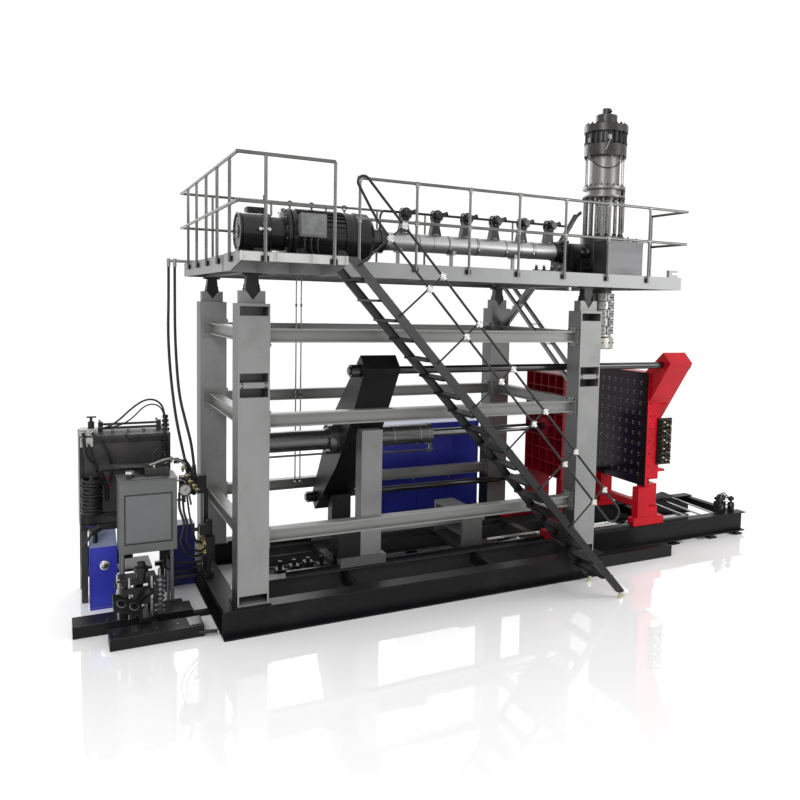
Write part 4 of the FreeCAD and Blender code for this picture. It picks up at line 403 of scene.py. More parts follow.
HOSES = {
    "hose_long_rear": (0.02, 3.07, [
        (-0.414, 2.99, 4.66), (-0.414, 2.99, 4.19), (-0.447, 2.82, 3.714), (-0.463, 2.537, 3.254),
        (-0.451, 2.26, 2.755), (-0.422, 1.979, 2.331), (-0.37, 1.69, 1.952),
    ]),
    "hose_long_front": (0.02, 3.146, [
        (-0.335, 2.93, 4.66), (-0.335, 2.93, 4.17), (-0.354, 2.78, 3.69), (-0.368, 2.51, 3.19),
        (-0.362, 2.27, 2.76), (-0.301, 2.05, 2.4), (-0.255, 1.83, 2.11), (-0.262, 1.63, 1.88),
    ]),
    "hose_arch_high": (0.013, 1.334, [
        (-1.48, 2.16, 2.372), (-1.345, 2.16, 2.372), (-1.18, 2.163, 2.47), (-1.01, 2.166, 2.64),
        (-0.83, 2.17, 2.765), (-0.665, 2.173, 2.745), (-0.568, 2.175, 2.59), (-0.568, 2.175, 2.366),
    ]),
    "hose_arch_low": (0.01, 1.242, [
        (-1.48, 2.24, 2.372), (-1.31, 2.24, 2.372), (-1.13, 2.24, 2.4), (-0.98, 2.24, 2.5),
        (-0.86, 2.24, 2.64), (-0.74, 2.24, 2.69), (-0.625, 2.24, 2.645), (-0.57, 2.24, 2.52),
        (-0.57, 2.24, 2.366),
    ]),
}


def make_hoses():
    for name, (radius, length, points) in HOSES.items():
        data = bpy.data.curves.new(f"{name}_line", "CURVE")
        data.dimensions = "3D"
        data.resolution_u = 24
        data.bevel_depth = radius
        data.bevel_resolution = 4
        data.use_fill_caps = True
        spline = data.splines.new("NURBS")
        spline.points.add(len(points) - 1)
        for point, place in zip(spline.points, points):
            point.co = (*place, 1)
        spline.order_u = 3
        spline.use_endpoint_u = True
        item = show(f"{name}_line", data, "hose_rubber")
        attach(item, "frame")
        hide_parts(name)


make_hoses()


for width, names in BEVELS.items():
    for name in names.split():
        soften(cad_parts[name], width)


# Accumulator head. The extruder, the head and the clamp share one middle plane.

MID = 1.5275
HEAD = Vector((6.56, MID, 0))
AXIS = Vector((0, MID, 5.13))
DECK = 4.735


def on_axis(x, radius=0, angle=0):
    """A point on or about the extruder's axis."""
    return AXIS + X * x + turned(angle, Y, Z) * radius


def around(count, radius, height, offset=0.5):
    """Points on a circle about the head's axis."""
    return [HEAD + turned(angle) * radius + Z * height for angle in circle(count, offset)]


def make_head():
    caps = Piece("head_bolts", "bolt_dark")
    for count, radius, height, side, size, stud, offset in (
        (20, 0.345, 7.34, Z, 0.024, 0.018, 0.5), (20, 0.345, 6.82, -Z, 0.02, 0.022, 0.5),
        (20, 0.33, 6.3, Z, 0.02, 0.022, 0.5), (18, 0.35, 6.11, -Z, 0.02, 0, 0.2),
        (10, 0.15, 7.53, Z, 0.013, 0, 0.5), (24, 0.415, 4.76, Z, 0.013, 0, 0.5),
    ):
        for seat in around(count, radius, height, offset):
            caps.bolt(seat, side, size, stud=stud)
    studs = Piece("head_studs", "bolt_dark")
    for seat in around(20, 0.348, 7.01):
        studs.stub(seat, Z * 0.21, 0.017, 12)
        studs.stub(seat, Z * 0.045, 0.026, 6)
    bright = Piece("head_guide_rods", "brace_steel")
    for angle in (-46, -30, -12, 134, 150, 168):
        bright.stub(HEAD + turned(radians(angle)) * 0.328 + Z * 6.3, Z * 0.52, 0.01, 12)
    for seat in around(14, 0.292, 5.435, 0):
        bright.stub(seat, Z * 0.675, 0.013, 12)
    nuts = Piece("head_cage_nuts", "bolt_dark")
    for seat in around(14, 0.325, 5.435):
        nuts.stub(seat, Z * 0.045, 0.036, 6)
        nuts.stub(seat + Z * 0.62, Z * 0.04, 0.036, 6)


def make_head_fittings():
    cable = Piece("head_cable_pipe", "hose_rubber")
    route = []
    for step in range(13):
        share = step / 12
        out = turned(radians(163 + 160 * share)) * 0.285
        route.append(HEAD + out + Z * (6.8 - 0.2 * sin(pi * share)))
    cable.pipe(route, 0.007, 8)
    tags = Piece("head_sensor_boxes", "bolt", bevel=0.003)
    tags.box((6.35, 1.165, 7.06), (6.41, 1.205, 7.14))
    tags.box((6.185, 1.47, 7.03), (6.225, 1.53, 7.11))
    tags.rod((6.38, 1.17, 7.06), (6.33, 1.22, 6.88), 0.008)
    top = Piece("head_top_fittings", "bolt_dark", bevel=0.002)
    top.lathe(HEAD + Z * 7.53, Z, [(0, 0), (0.1, 0), (0.1, 0.02), (0.078, 0.02), (0, 0.02)])
    top.stub((6.56, 1.44, 7.59), -Y * 0.04, 0.022)


def make_die():
    screws = Piece("heater_screws", "dark_hole")
    clips = Piece("heater_clips", "bolt_dark")
    for band in range(5):
        for index in range(9):
            out = turned(radians(200 + 17 * index + 7 * (band % 2)))
            seat = HEAD + out * 0.23 + Z * (3.817 + 0.144 * band)
            if index % 3 == 1:
                for lift in (-0.05, 0.05):
                    clips.stub(seat + Z * lift, out * 0.022, 0.011, 10)
                clips.stub(seat + out * 0.012 - Z * 0.055, Z * 0.11, 0.006, 8)
            else:
                screws.stub(seat - out * 0.001, out * 0.014, 0.01, 10)
    ring = Piece("die_ring_screws", "bolt_dark")
    for angle in circle(12, 0.3):
        ring.stub(HEAD + turned(angle) * 0.255 + Z * 3.6, turned(angle) * 0.017, 0.013, 10)
    for seat in around(16, 0.238, 3.5):
        ring.stub(seat, -Z * 0.006, 0.012, 10)
    lines = Piece("heater_lines", "hose_rubber")
    for index in range(4):
        out = turned(radians(196 + 9 * index))
        foot = HEAD + out * 0.255
        lines.pipe([foot + Z * (3.85 + 0.144 * index), foot + out * 0.02 + Z * (4.1 + 0.1 * index),
                    foot + out * 0.03 + Z * 4.5], 0.009, 8)


def make_adaptor():
    black = Piece("adaptor_housing", "unit_black", bevel=0.004)
    black.box((5.665, 1.3, 4.74), (5.7, 1.755, 5.32))
    black.box((5.72, 1.285, 4.76), (5.8, 1.33, 5.25))
    black.stub(on_axis(5.52), X * 0.145, 0.165, 32)
    black.stub(on_axis(5.62), X * 0.04, 0.185, 32)
    black.box((5.85, 1.14, DECK), (6.04, 1.29, 4.98))
    black.box((5.87, 1.16, 4.98), (6.02, 1.27, 5.02))
    for x in steps(5.89, 0.055, 3):
        black.stub((x, 1.14, 4.86), -Y * 0.04, 0.02)
    bolts = Piece("adaptor_bolts", "bolt")
    for angle in circle(10):
        bolts.bolt(on_axis(5.62, 0.165, angle), -X, 0.014)
        bolts.bolt(on_axis(5.52, 0.125, angle), -X, 0.011)
    strut = Piece("head_strut", "bar_dark", bevel=0.002)
    strut.rod((5.73, 1.7, 5.22), (6.1, 1.7, 5.8), 0.045, 24)
    strut.rod((5.7, 1.7, 5.17), (5.76, 1.7, 5.26), 0.062, 24)
    strut.rod((6.06, 1.7, 5.74), (6.18, 1.66, 5.86), 0.028, 16)
    rings = Piece("adaptor_rings", "head_steel")
    for x in steps(5.74, 0.085, 4):
        rings.lathe(on_axis(x), X, [(0.086, 0), (0.112, 0.006), (0.112, 0.044), (0.086, 0.05)], 32)


def make_deck_valves():
    valves = Piece("deck_valves", "bolt_dark", bevel=0.003)
    valves.pipe([(4.95, 1.16, 4.775), (5.6, 1.16, 4.775), (5.68, 1.2, 4.8), (5.68, 1.26, 4.8)], 0.014)
    knobs = Piece("deck_valve_knobs", "bolt")
    for x in steps(5.025, 0.15, 4):
        valves.box((x - 0.045, 1.2, DECK), (x + 0.045, 1.29, 4.81))
        valves.stub((x, 1.245, 4.81), Z * 0.05, 0.026)
        valves.stub((x, 1.2, 4.775), -Y * 0.03, 0.017)
        knobs.stub((x, 1.245, 4.86), Z * 0.025, 0.02)
        knobs.stub((x, 1.17, 4.775), -Y * 0.015, 0.022, 6)


def make_head_cabinet():
    seams = Piece("head_cabinet_trim", "head_box", bevel=0.002)
    seams.box((5.965, 0.578, 4.75), (6.685, 0.588, 5.285))
    front = Piece("head_cabinet_fasteners", "bolt_dark")
    for x in (5.99, 6.66):
        for z in (4.79, 5.02, 5.25):
            front.stub((x, 0.579, z), -Y * 0.007, 0.008, 12)
    top = Piece("head_cabinet_fittings", "bolt_dark")
    for index, x in enumerate((6.02, 6.13, 6.46, 6.57, 6.64)):
        top.stub((x, 0.7, 5.302), Z * 0.033, 0.022, 16)
        top.rod((x, 0.7, 5.335), (x, 0.7, 5.36 + 0.015 * (index % 3)), 0.012, 12)


# Drive motor, gearbox and extruder.

def make_motor():
    rings = Piece("motor_rings", "motor_black")
    rings.lathe(on_axis(0.288), X, [(0.235, 0.014), (0.24, 0), (0.27, 0), (0.27, 0.03), (0.25, 0.034)], 56)
    rings.lathe(on_axis(0.7), X, [(0.262, 0), (0.276, 0.004), (0.276, 0.02), (0.262, 0.024)], 56)
    rings.lathe(on_axis(0.905), X, [(0.3, 0), (0.372, 0.02), (0.372, 0.07), (0.34, 0.09)], 64)
    rings.lathe(on_axis(1.815), X, [(0.34, 0), (0.376, 0.015), (0.376, 0.085), (0.34, 0.1)], 64)
    rings.lathe(on_axis(1.94), X, [(0.383, 0), (0.389, 0.004), (0.389, 0.03), (0.383, 0.034)], 64)


def make_motor_fan():
    hub = Piece("fan_hub", "bolt")
    hub.lathe(on_axis(0.301), -X, [(0, 0), (0.085, 0), (0.085, 0.006), (0.05, 0.008),
                                   (0.045, 0.01), (0, 0.01)])
    for radius in steps(0.115, 0.045, 3):
        for angle in circle(24):
            hub.rod(on_axis(0.303, radius, angle), on_axis(0.298, radius, angle), 0.008, 8)
    face = Piece("fan_face_bolts", "bolt")
    for angle in circle(8, 0.5):
        face.bolt(on_axis(0.292, 0.235, angle), -X, 0.01, washer=False)
    for angle in circle(14, 0.5):
        face.bolt(on_axis(0.91, 0.345, angle), -X, 0.015)
        face.bolt(on_axis(1.9, 0.355, angle), X, 0.014)


def make_motor_boxes():
    cross = Piece("coolant_union", "clamp_chrome")
    cross.stub((0.6, 1.262, 5.16), -Y * 0.067, 0.02)
    cross.stub((0.6, 1.205, 5.09), Z * 0.14, 0.017)
    cross.stub((0.54, 1.205, 5.16), X * 0.12, 0.017)
    for x, z in ((0.6, 5.09), (0.6, 5.23), (0.54, 5.16), (0.66, 5.16)):
        cross.stub((x, 1.185, z), Y * 0.04, 0.026, 6)
    lid = Piece("terminal_box_rim", "box_lid", bevel=0.003)
    lid.box((1.05, 1.006, 5.1), (1.38, 1.013, 5.38))
    for x in (1.065, 1.365):
        for z in (5.115, 5.365):
            lid.stub((x, 1.007, z), -Y * 0.009, 0.01, 6)
    glands = Piece("terminal_glands", "hose_rubber")
    for x in steps(1.12, 0.09, 3):
        glands.stub((x, 1.09, 5.08), -Z * 0.04, 0.024, 8)
        glands.pipe([(x, 1.09, 5.04), (x, 1.09, 4.92), (x + 0.05, 1.13, 4.8), (x + 0.05, 1.22, 4.745)], 0.013)
    box = Piece("encoder_box", "unit_black", bevel=0.004)
    box.box((0.46, 1.66, 5.385), (0.7, 1.86, 5.5))
    box.box((0.5, 1.6, 5.37), (0.66, 1.8, 5.4))
    box.stub((0.56, 1.66, 5.45), -Y * 0.04, 0.03)
    box.stub((0.7, 1.62, 5.36), Z * 0.3, 0.016)
    box.stub((0.7, 1.62, 5.6), Z * 0.07, 0.03)
    fins = Piece("gear_case_plugs", "bolt_dark")
    for degrees in (200, 235, 305, 340):
        angle = radians(degrees)
        fins.bolt(on_axis(2.06, 0.384, angle), turned(angle, Y, Z), 0.016)


def make_barrel():
    bands = Piece("shroud_bands", "bolt")
    for x in steps(2.47, 0.515, 7):
        bands.lathe(on_axis(x), X, [(0.139, 0), (0.1435, 0.003), (0.1435, 0.025), (0.139, 0.028)], 48)
        bands.box((x, 1.38, 5.06), (x + 0.028, 1.4, 5.09))
    joints = Piece("shroud_joints", "dark_hole")
    for x in (3.241, 4.031, 4.821):
        joints.lathe(on_axis(x), X, [(0.136, 0), (0.1405, 0.001), (0.1405, 0.007), (0.136, 0.008)], 48)
    collar = Piece("feed_collar", "barrel_steel")
    collar.lathe(on_axis(2.195), X, [(0.1, 0), (0.205, 0), (0.205, 0.05), (0.17, 0.055), (0.17, 0.16),
                                     (0.19, 0.165), (0.19, 0.22), (0.1, 0.22)], 48)
    for angle in circle(12):
        collar.bolt(on_axis(2.245, 0.187, angle), X, 0.012)


def make_blowers():
    cases = Piece("blower_cases", "blower", bevel=0.002)
    motors = Piece("blower_motors", "motor_black", bevel=0.002)
    pipes = Piece("blower_pipes", "bolt")
    for x in steps(2.78, 0.527, 6):
        centre = Vector((x, MID, 5.555))
        cases.lathe(centre - Y * 0.115, Y, [(0.02, 0), (0.085, 0), (0.094, 0.012), (0.094, 0.05),
                                            (0.085, 0.062), (0.02, 0.062)], 32)
        cases.box((x - 0.05, 1.435, 5.44), (x + 0.05, 1.5, 5.51))
        motors.lathe(centre - Y * 0.2, Y, [(0.02, 0), (0.052, 0), (0.058, 0.01), (0.058, 0.085),
                                           (0.02, 0.085)], 28)
        motors.stub(centre + Vector((0.07, -0.14, 0.02)), Vector((0.055, 0, 0.015)), 0.034)
        motors.stub(centre + Vector((0.125, -0.14, 0.035)), Vector((0.015, 0, 0.005)), 0.04)
        for angle in circle(6):
            pipes.stub(centre - Y * 0.115 + turned(angle, X, Z) * 0.074, -Y * 0.008, 0.008, 6)
        pipes.stub((x - 0.03, MID, 5.262), Z * 0.038, 0.03)
        pipes.lathe((x, MID, 5.268), Z, [(0.05, 0), (0.075, 0), (0.075, 0.012), (0.05, 0.016)], 28)


def make_barrel_fittings():
    line = Piece("blower_conduit", "bolt_dark")
    line.stub((2.6, 1.44, 5.57), X * 3.06, 0.017, 14)
    line.pipe([(5.66, 1.44, 5.57), (5.72, 1.44, 5.57), (5.74, 1.44, 5.5), (5.74, 1.44, 5.34)], 0.017)
    line.pipe([(2.6, 1.44, 5.57), (2.4, 1.44, 5.57), (2.36, 1.44, 5.5), (2.36, 1.44, 5.3)], 0.017)
    feet = Piece("barrel_stand_plates", "bolt_dark")
    for x in (2.66, 3.72, 4.77):
        feet.box((x - 0.07, 1.4, 4.727), (x + 0.07, 1.655, 4.742))
        for y in (1.43, 1.625):
            for aside in (-0.045, 0.045):
                feet.bolt((x + aside, y, 4.742), Z, 0.01)


# Clamp.

CLAMP = Vector((0, MID, 2.155))
BED = 0.42
FACE = 7.131


def make_mould_faces():
    rims = Piece("mould_bushes", "bolt", "outer_clamp")
    # The bores are flat near-black discs inside the rims: painted shade standing in for the depth of each
    # hole.
    holes = Piece("mould_bush_bores", "dark_hole", "outer_clamp")
    pitch = 0.18
    for row in range(10):
        for column in range(7):
            seat = Vector((FACE, MID + pitch * (column - 3), 2.1 + pitch * (row - 4.5)))
            rims.lathe(seat, -X, [(0.03, 0), (0.03, 0.003), (0.026, 0.005)], 24)
            holes.stub(seat, -X * 0.0055, 0.0225)
    edge = Piece("platen_edge_bolts", "bolt_dark", "outer_clamp")
    for z in steps(1.24, 0.22, 9):
        edge.bolt((7.2, 0.8025, z), -Y, 0.013)
    for z in steps(1.35, 0.25, 7):
        edge.bolt((7.3, 0.8025, z), -Y, 0.01)


def make_manifold():
    """Rows of hydraulic couplings on the plate beside the right platen."""
    dark = Piece("manifold_valves", "bolt_dark", "outer_clamp")
    brassy = Piece("manifold_fittings", "brass", "outer_clamp")
    bright = Piece("manifold_caps", "clamp_chrome", "outer_clamp")
    for index in range(10):
        z = 1.54 + 0.078 * index
        dark.box((7.39, 0.725, z - 0.026), (7.46, 0.765, z + 0.026))
        for x, lift, reach in ((7.425, 0, 0.73), (7.52, 0.02, 0.765), (7.6, 0, 0.765)):
            seat = Vector((x, reach, z + lift))
            brassy.stub(seat, -Y * 0.036, 0.019, 6)
            cap = bright if (index + (x > 7.5)) % 2 else dark
            cap.rod(seat - Y * 0.036, seat - Y * 0.058, 0.014, 12)


def make_clamp_fasteners():
    nuts = Piece("tie_bar_bolts", "bolt_dark", "outer_clamp")
    for y, z in ((0.5275, 3.26), (2.5275, 1.05)):
        for angle in circle(6):
            nuts.bolt(Vector((1.74, y, z)) + turned(angle, Y, Z) * 0.09, -X, 0.011)
    for angle in circle(14, 0.5):
        nuts.bolt(CLAMP + X * 1.5995 + turned(angle, Y, Z) * 0.192, -X, 0.014)
    for low_x in (7.02, 7.22):
        for step in range(3):
            for y in (0.79, 2.27):
                nuts.bolt((low_x + 0.07 * step, y, 0.572), Z, 0.012)


def make_clamp_cylinder_fittings():
    port = Piece("clamp_cylinder_ports", "bolt_dark", "outer_clamp")
    port.stub((0.42, MID, 2.29), Z * 0.07, 0.035)
    port.stub((0.42, MID, 2.34), Z * 0.03, 0.05, 8)
    port.lathe(CLAMP + X * 0.322, X, [(0.15, 0), (0.16, 0), (0.16, 0.05), (0.15, 0.05)], 40)
    seals = Piece("clamp_cylinder_rings", "bolt", "outer_clamp")
    for x in (2.62, 3.06, 3.2):
        seals.lathe(CLAMP + X * x, X, [(0.152, 0), (0.158, 0.003), (0.158, 0.03), (0.152, 0.033)], 40)
    guide = Piece("clamp_guide_rod", "bar_dark", "outer_clamp", bevel=0.002)
    guide.stub((2.2, MID, 1.885), X * 1.16, 0.014)
    guide.stub((3.33, MID, 1.885), X * 0.02, 0.024, 6)
    guide.box((3.28, 1.498, 1.86), (3.32, 1.557, 2.02))


def make_bed_details():
    bolts = Piece("bed_bolts", "bolt_dark")
    for y in (0.82, 2.235):
        for x in steps(0.95, 0.24, 30):
            bolts.bolt((x, y - 0.045, BED), Z, 0.009, washer=False)
    bars = Piece("bed_cross_bars", "brace_steel")
    for x in (8.3, 8.62, 8.94):
        bars.rod((x, 0.9, 0.405), (x + 0.1, 2.15, 0.405), 0.018, 14)
    valve = Piece("bed_end_valves", "unit_black", bevel=0.002)
    for index, (x, y) in enumerate(((9.08, 0.92), (9.22, 0.98), (9.36, 0.9), (9.16, 1.06))):
        drop = 0.03 * index
        valve.box((x - 0.045, y - 0.045, BED), (x + 0.045, y + 0.045, BED + 0.16))
        valve.stub((x, y, BED + 0.16), Z * (0.18 - drop), 0.022)
        valve.stub((x - 0.05, y, BED + 0.22), X * 0.1, 0.03)
        valve.stub((x, y, BED + 0.3 - drop), Z * 0.02, 0.055, 24)
    valve.pipe([(9.08, 0.92, 0.62), (9.22, 0.93, 0.7), (9.36, 0.9, 0.62), (9.42, 0.9, 0.46)], 0.014)
    valve.pipe([(9.06, 0.98, 0.5), (9.2, 0.86, 0.56), (9.34, 0.86, 0.5)], 0.011)
    valve.pipe([(9.12, 1.06, 0.66), (9.26, 1, 0.76), (9.4, 0.95, 0.62), (9.42, 0.93, 0.45)], 0.01)
    gleam = Piece("bed_end_fittings", "bolt")
    for seat in ((9.08, 0.868, 0.52), (9.22, 0.925, 0.6), (9.36, 0.848, 0.54), (9.29, 0.86, 0.56),
                 (9.16, 1, 0.66)):
        gleam.stub(seat, -Y * 0.03, 0.018, 6)


def make_bed_hydraulics():
    machinery = Piece("bed_hydraulics", "unit_black", bevel=0.003)
    for index in range(5):
        x = 0.75 + 0.2 * index
        machinery.box((x, 1.05, 0.25), (x + 0.13, 1.2, 0.42 + 0.03 * (index % 3)))
        machinery.stub((x + 0.065, 1.125, 0.42), Z * 0.11, 0.03)
    machinery.pipe([(0.62, 1.35, 0.36), (1.4, 1.35, 0.36), (1.6, 1.1, 0.36), (3.2, 1.1, 0.36)], 0.022)
    machinery.pipe([(0.62, 1.42, 0.33), (1.45, 1.42, 0.33), (1.7, 1.16, 0.33), (3.2, 1.16, 0.33)], 0.022)
    machinery.pipe([(0.62, 1.9, 0.34), (2, 1.9, 0.34), (2.1, 2.05, 0.34), (6.2, 2.05, 0.34)], 0.018)
    lines = Piece("bed_bright_lines", "clamp_chrome")
    for lift in (0, 0.015):
        lines.stub((4.1, 1.005 + lift, 0.47 + lift), X * 2.5, 0.008)


def make_cloth():
    """A dark dust cover lying over the bed's far beam and rails near its right end."""
    mesh = bmesh.new()
    columns, rows = 44, 22
    grid = []
    for i in range(columns + 1):
        line = []
        for j in range(rows + 1):
            x = 8.02 + 0.98 * i / columns
            y = 1.98 + 0.34 * j / rows
            fold = 0.02 * sin(9 * x + 3 * j / rows) + 0.014 * sin(23 * x - 17 * y)
            edge = min(i, columns - i, j, rows - j) / 5
            z = 0.478 + 0.03 * min(1, edge) + fold * min(1, edge)
            line.append(mesh.verts.new((x + 0.02 * sin(11 * y), y + 0.015 * sin(8 * x), z)))
        grid.append(line)
    for i in range(columns):
        for j in range(rows):
            mesh.faces.new((grid[i][j], grid[i + 1][j], grid[i + 1][j + 1], grid[i][j + 1]))
    data = bpy.data.meshes.new("bed_cloth")
    mesh.to_mesh(data)
    mesh.free()
    data.shade_smooth()
    item = show("bed_cloth", data, "cloth_dark")
    thick = item.modifiers.new("thickness", "SOLIDIFY")
    thick.thickness = 0.004
    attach(item, "frame")


# Gantry, platform and stair.

def make_gantry_fasteners():
    bolts = Piece("girder_bolts", "bolt_dark")
    for x, out in ((0.405, X), (5.035, -X)):
        for y in (0.072, 0.278, 2.777, 2.983):
            for z in (1.109, 1.329, 2.574, 2.802, 3.642, 3.867):
                bolts.bolt((x, y, z), out, 0.013)
    for x in (0.05, 0.335, 5.105, 5.39):
        for z in (3.128, 3.172):
            bolts.stub((x, -0.001, z), -Y * 0.012, 0.011, 6)
            bolts.stub((x, 3.056, z), Y * 0.012, 0.011, 6)


def make_column_feet():
    welds = Piece("column_foot_plates", "base_black", bevel=0.003)
    for x in (0, 5.055):
        for y in (0, 2.725):
            welds.box((x - 0.03, y - 0.03, 0.374), (x + 0.415, y + 0.36, 0.392))
    anchors = Piece("column_foot_bolts", "bolt_dark")
    for x in (-0.015, 0.4, 5.04, 5.455):
        for y in (-0.015, 0.345, 2.71, 3.07):
            anchors.bolt((x, y, 0.392), Z, 0.01, washer=False)
    jacks = Piece("mount_bolts", "bolt_dark")
    for x in (0.115, 0.27, 5.17, 5.325):
        for y in (0.09, 0.24, 2.815, 2.965):
            jacks.stub((x, y, 4.305), Z * 0.03, 0.016, 6)
            jacks.stub((x, y, 4.335), Z * 0.045, 0.008, 10)
    tubes = Piece("front_riser_pipes", "brace_steel")
    for x in (1.455, 1.535):
        tubes.stub((x, 2.7, 1.3), Z * 2.82, 0.011, 12)
        tubes.stub((x, 2.7, 4.1), Z * 0.05, 0.02, 8)
        tubes.stub((x, 2.7, 4.15), Z * 0.45, 0.011, 12)
        for z in (1.25, 2.68, 3.75):
            tubes.box((x - 0.018, 2.68, z), (x + 0.018, 2.81, z + 0.03))


def islands(name):
    """The lowest and highest corner of each separate solid of a CAD node."""
    mesh = bmesh.new()
    mesh.from_mesh(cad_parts[name].data)
    bmesh.ops.remove_doubles(mesh, verts=mesh.verts, dist=0.00005)
    left = set(mesh.verts)
    found = []
    while left:
        stack = [left.pop()]
        group = []
        while stack:
            vert = stack.pop()
            group.append(vert.co.copy())
            for edge in vert.link_edges:
                other = edge.other_vert(vert)
                if other in left:
                    left.remove(other)
                    stack.append(other)
        low = Vector([min(point[axis] for point in group) for axis in range(3)])
        high = Vector([max(point[axis] for point in group) for axis in range(3)])
        found.append((low, high))
    mesh.free()
    return found


def make_stair_details():
    """Cross fittings on the handrail and ribs on the treads."""
    slope = radians(48)
    course = Vector((cos(slope), 0, -sin(slope)))
    upright = Vector((sin(slope), 0, cos(slope)))
    fits = Piece("handrail_fittings", "clamp_chrome", bevel=0.002)
    for low, high in islands("handrail_posts"):
        if (high - low).length > 0.2:
            continue
        centre = (low + high) / 2
        centre.y = low.y + 0.012
        fits.rod(centre - course * 0.045, centre + course * 0.045, 0.024, 14)
        fits.rod(centre - upright * 0.045, centre + upright * 0.045, 0.02, 14)
        fits.stub(centre, -Y * 0.02, 0.012, 6)
    ribs = Piece("tread_ribs", "bolt_dark")
    edges = Piece("tread_nosings", "bolt")
    for low, high in islands("stair_treads"):
        if high.y - low.y < 0.5:
            continue
        edges.box((high.x - 0.012, low.y + 0.01, high.z), (high.x - 0.002, high.y - 0.01, high.z + 0.004))
        for index in range(6):
            x = low.x + 0.015 + (high.x - low.x - 0.045) * index / 5
            ribs.box((x, low.y + 0.01, high.z), (x + 0.006, high.y - 0.01, high.z + 0.003))


def make_rail_fittings():
    """Tee pieces where the guardrail's posts meet its two rails."""
    fits = Piece("rail_fittings", "bolt")
    top, middle, front = 5.769, 5.26, -0.08
    for x in steps(1.49, 0.793, 7):
        for z in (top, middle):
            for start, course, reach in (((x, front, z - 0.055), Z, 0.048), ((x - 0.035, front, z), X, 0.07)):
                profile = [(0.021, 0), (0.0255, 0.003), (0.0255, reach - 0.003), (0.021, reach)]
                fits.lathe(start, course, profile, 20)


# Oil box, tank, blow unit and their pipework.

def make_oil_box():
    plate = Piece("oil_box_lid_plate", "panel_grey", bevel=0.003)
    plate.box((-1.09, 1.225, 1.824), (-0.71, 1.31, 1.842))
    plate.box((-1.165, 1.196, 1), (-0.615, 1.2025, 1.62))
    seams = Piece("oil_box_seams", "dark_hole")
    for x0, z0, x1, z1 in ((-1.182, 0.978, -0.598, 0.984), (-1.182, 1.631, -0.598, 1.637),
                           (-1.182, 0.984, -1.176, 1.631), (-0.604, 0.984, -0.598, 1.631)):
        seams.box((x0, 1.198, z0), (x1, 1.2015, z1))


def make_oil_manifold():
    cap = Piece("oil_filler", "clamp_chrome")
    cap.lathe((-1.1, 1.33, 1.885), Z, [(0, 0), (0.055, 0), (0.06, 0.01), (0.06, 0.03),
                                       (0.05, 0.042), (0, 0.045)], 32)
    cap.stub((-0.8, 1.4, 1.93), Z * 0.07, 0.016)
    black = Piece("oil_manifold_pipes", "unit_black", bevel=0.003)
    black.pipe([(-1.45, 1.62, 1.93), (-1.2, 1.62, 1.93), (-0.95, 1.52, 1.93), (-0.62, 1.52, 1.93)], 0.045, 18)
    black.box((-0.98, 1.5, 1.84), (-0.6, 1.6, 1.97))
    black.pipe([(-0.8, 1.4, 2), (-0.82, 1.4, 2.12), (-0.74, 1.4, 2.2), (-0.66, 1.4, 2.12),
                (-0.68, 1.42, 1.98)], 0.012)
    black.pipe([(-0.55, 1.45, 1.98), (-0.4, 1.45, 2), (-0.32, 1.45, 1.86), (-0.28, 1.47, 1.62),
                (-0.28, 1.5, 1.5)], 0.022, 14)
    brass = Piece("oil_box_fittings", "brass")
    steel = Piece("oil_box_pipes", "bolt")
    spots = [(-0.66, 1.44, 2.02), (-0.58, 1.44, 2.03), (-0.5, 1.44, 2.01), (-0.44, 1.4, 1.9),
             (-0.4, 1.38, 1.8), (-0.36, 1.36, 1.72), (-0.31, 1.36, 1.66), (-0.27, 1.36, 1.6)]
    for spot in map(Vector, spots):
        brass.rod(spot - X * 0.02, spot + X * 0.02, 0.024, 6)
        steel.rod(spot - Z * 0.05, spot + Z * 0.035, 0.015, 12)
        steel.rod(spot + X * 0.02, spot + X * 0.045, 0.015, 12)
    steel.pipe([(-0.86, 1.36, 1.98), (-0.66, 1.36, 2.05), (-0.5, 1.36, 2.04), (-0.42, 1.36, 1.96)], 0.018, 14)
    steel.pipe([(-0.54, 1.3, 1.76), (-0.44, 1.3, 1.76), (-0.38, 1.33, 1.6), (-0.34, 1.36, 1.4)], 0.014)


def make_gauge():
    centre = Vector((-0.445, 1.2, 1.655))
    gauge = Piece("gauge_case", "unit_black")
    gauge.lathe(centre, -Y, [(0, 0), (0.076, 0), (0.08, 0.01), (0.08, 0.045), (0.07, 0.045),
                             (0.07, 0.038), (0, 0.038)])
    gauge.stub(centre - Z * 0.075, -Z * 0.1, 0.014)
    gauge.stub(centre - Z * 0.135, -X * 0.095, 0.014)
    dial = Piece("gauge_dial", "gauge_face")
    dial.stub(centre - Y * 0.038, -Y * 0.0015, 0.0695, 40)
    needle = Piece("gauge_needle", "dark_hole")
    needle.prism([(-0.452, 1.16, 1.645), (-0.438, 1.16, 1.645), (-0.415, 1.16, 1.7)], -Y * 0.002)
    for index in range(9):
        out = turned(radians(-45 + 33.75 * index), X, Z)
        needle.stub(centre + out * 0.058 - Y * 0.0396, -Y * 0.0012, 0.004, 8)


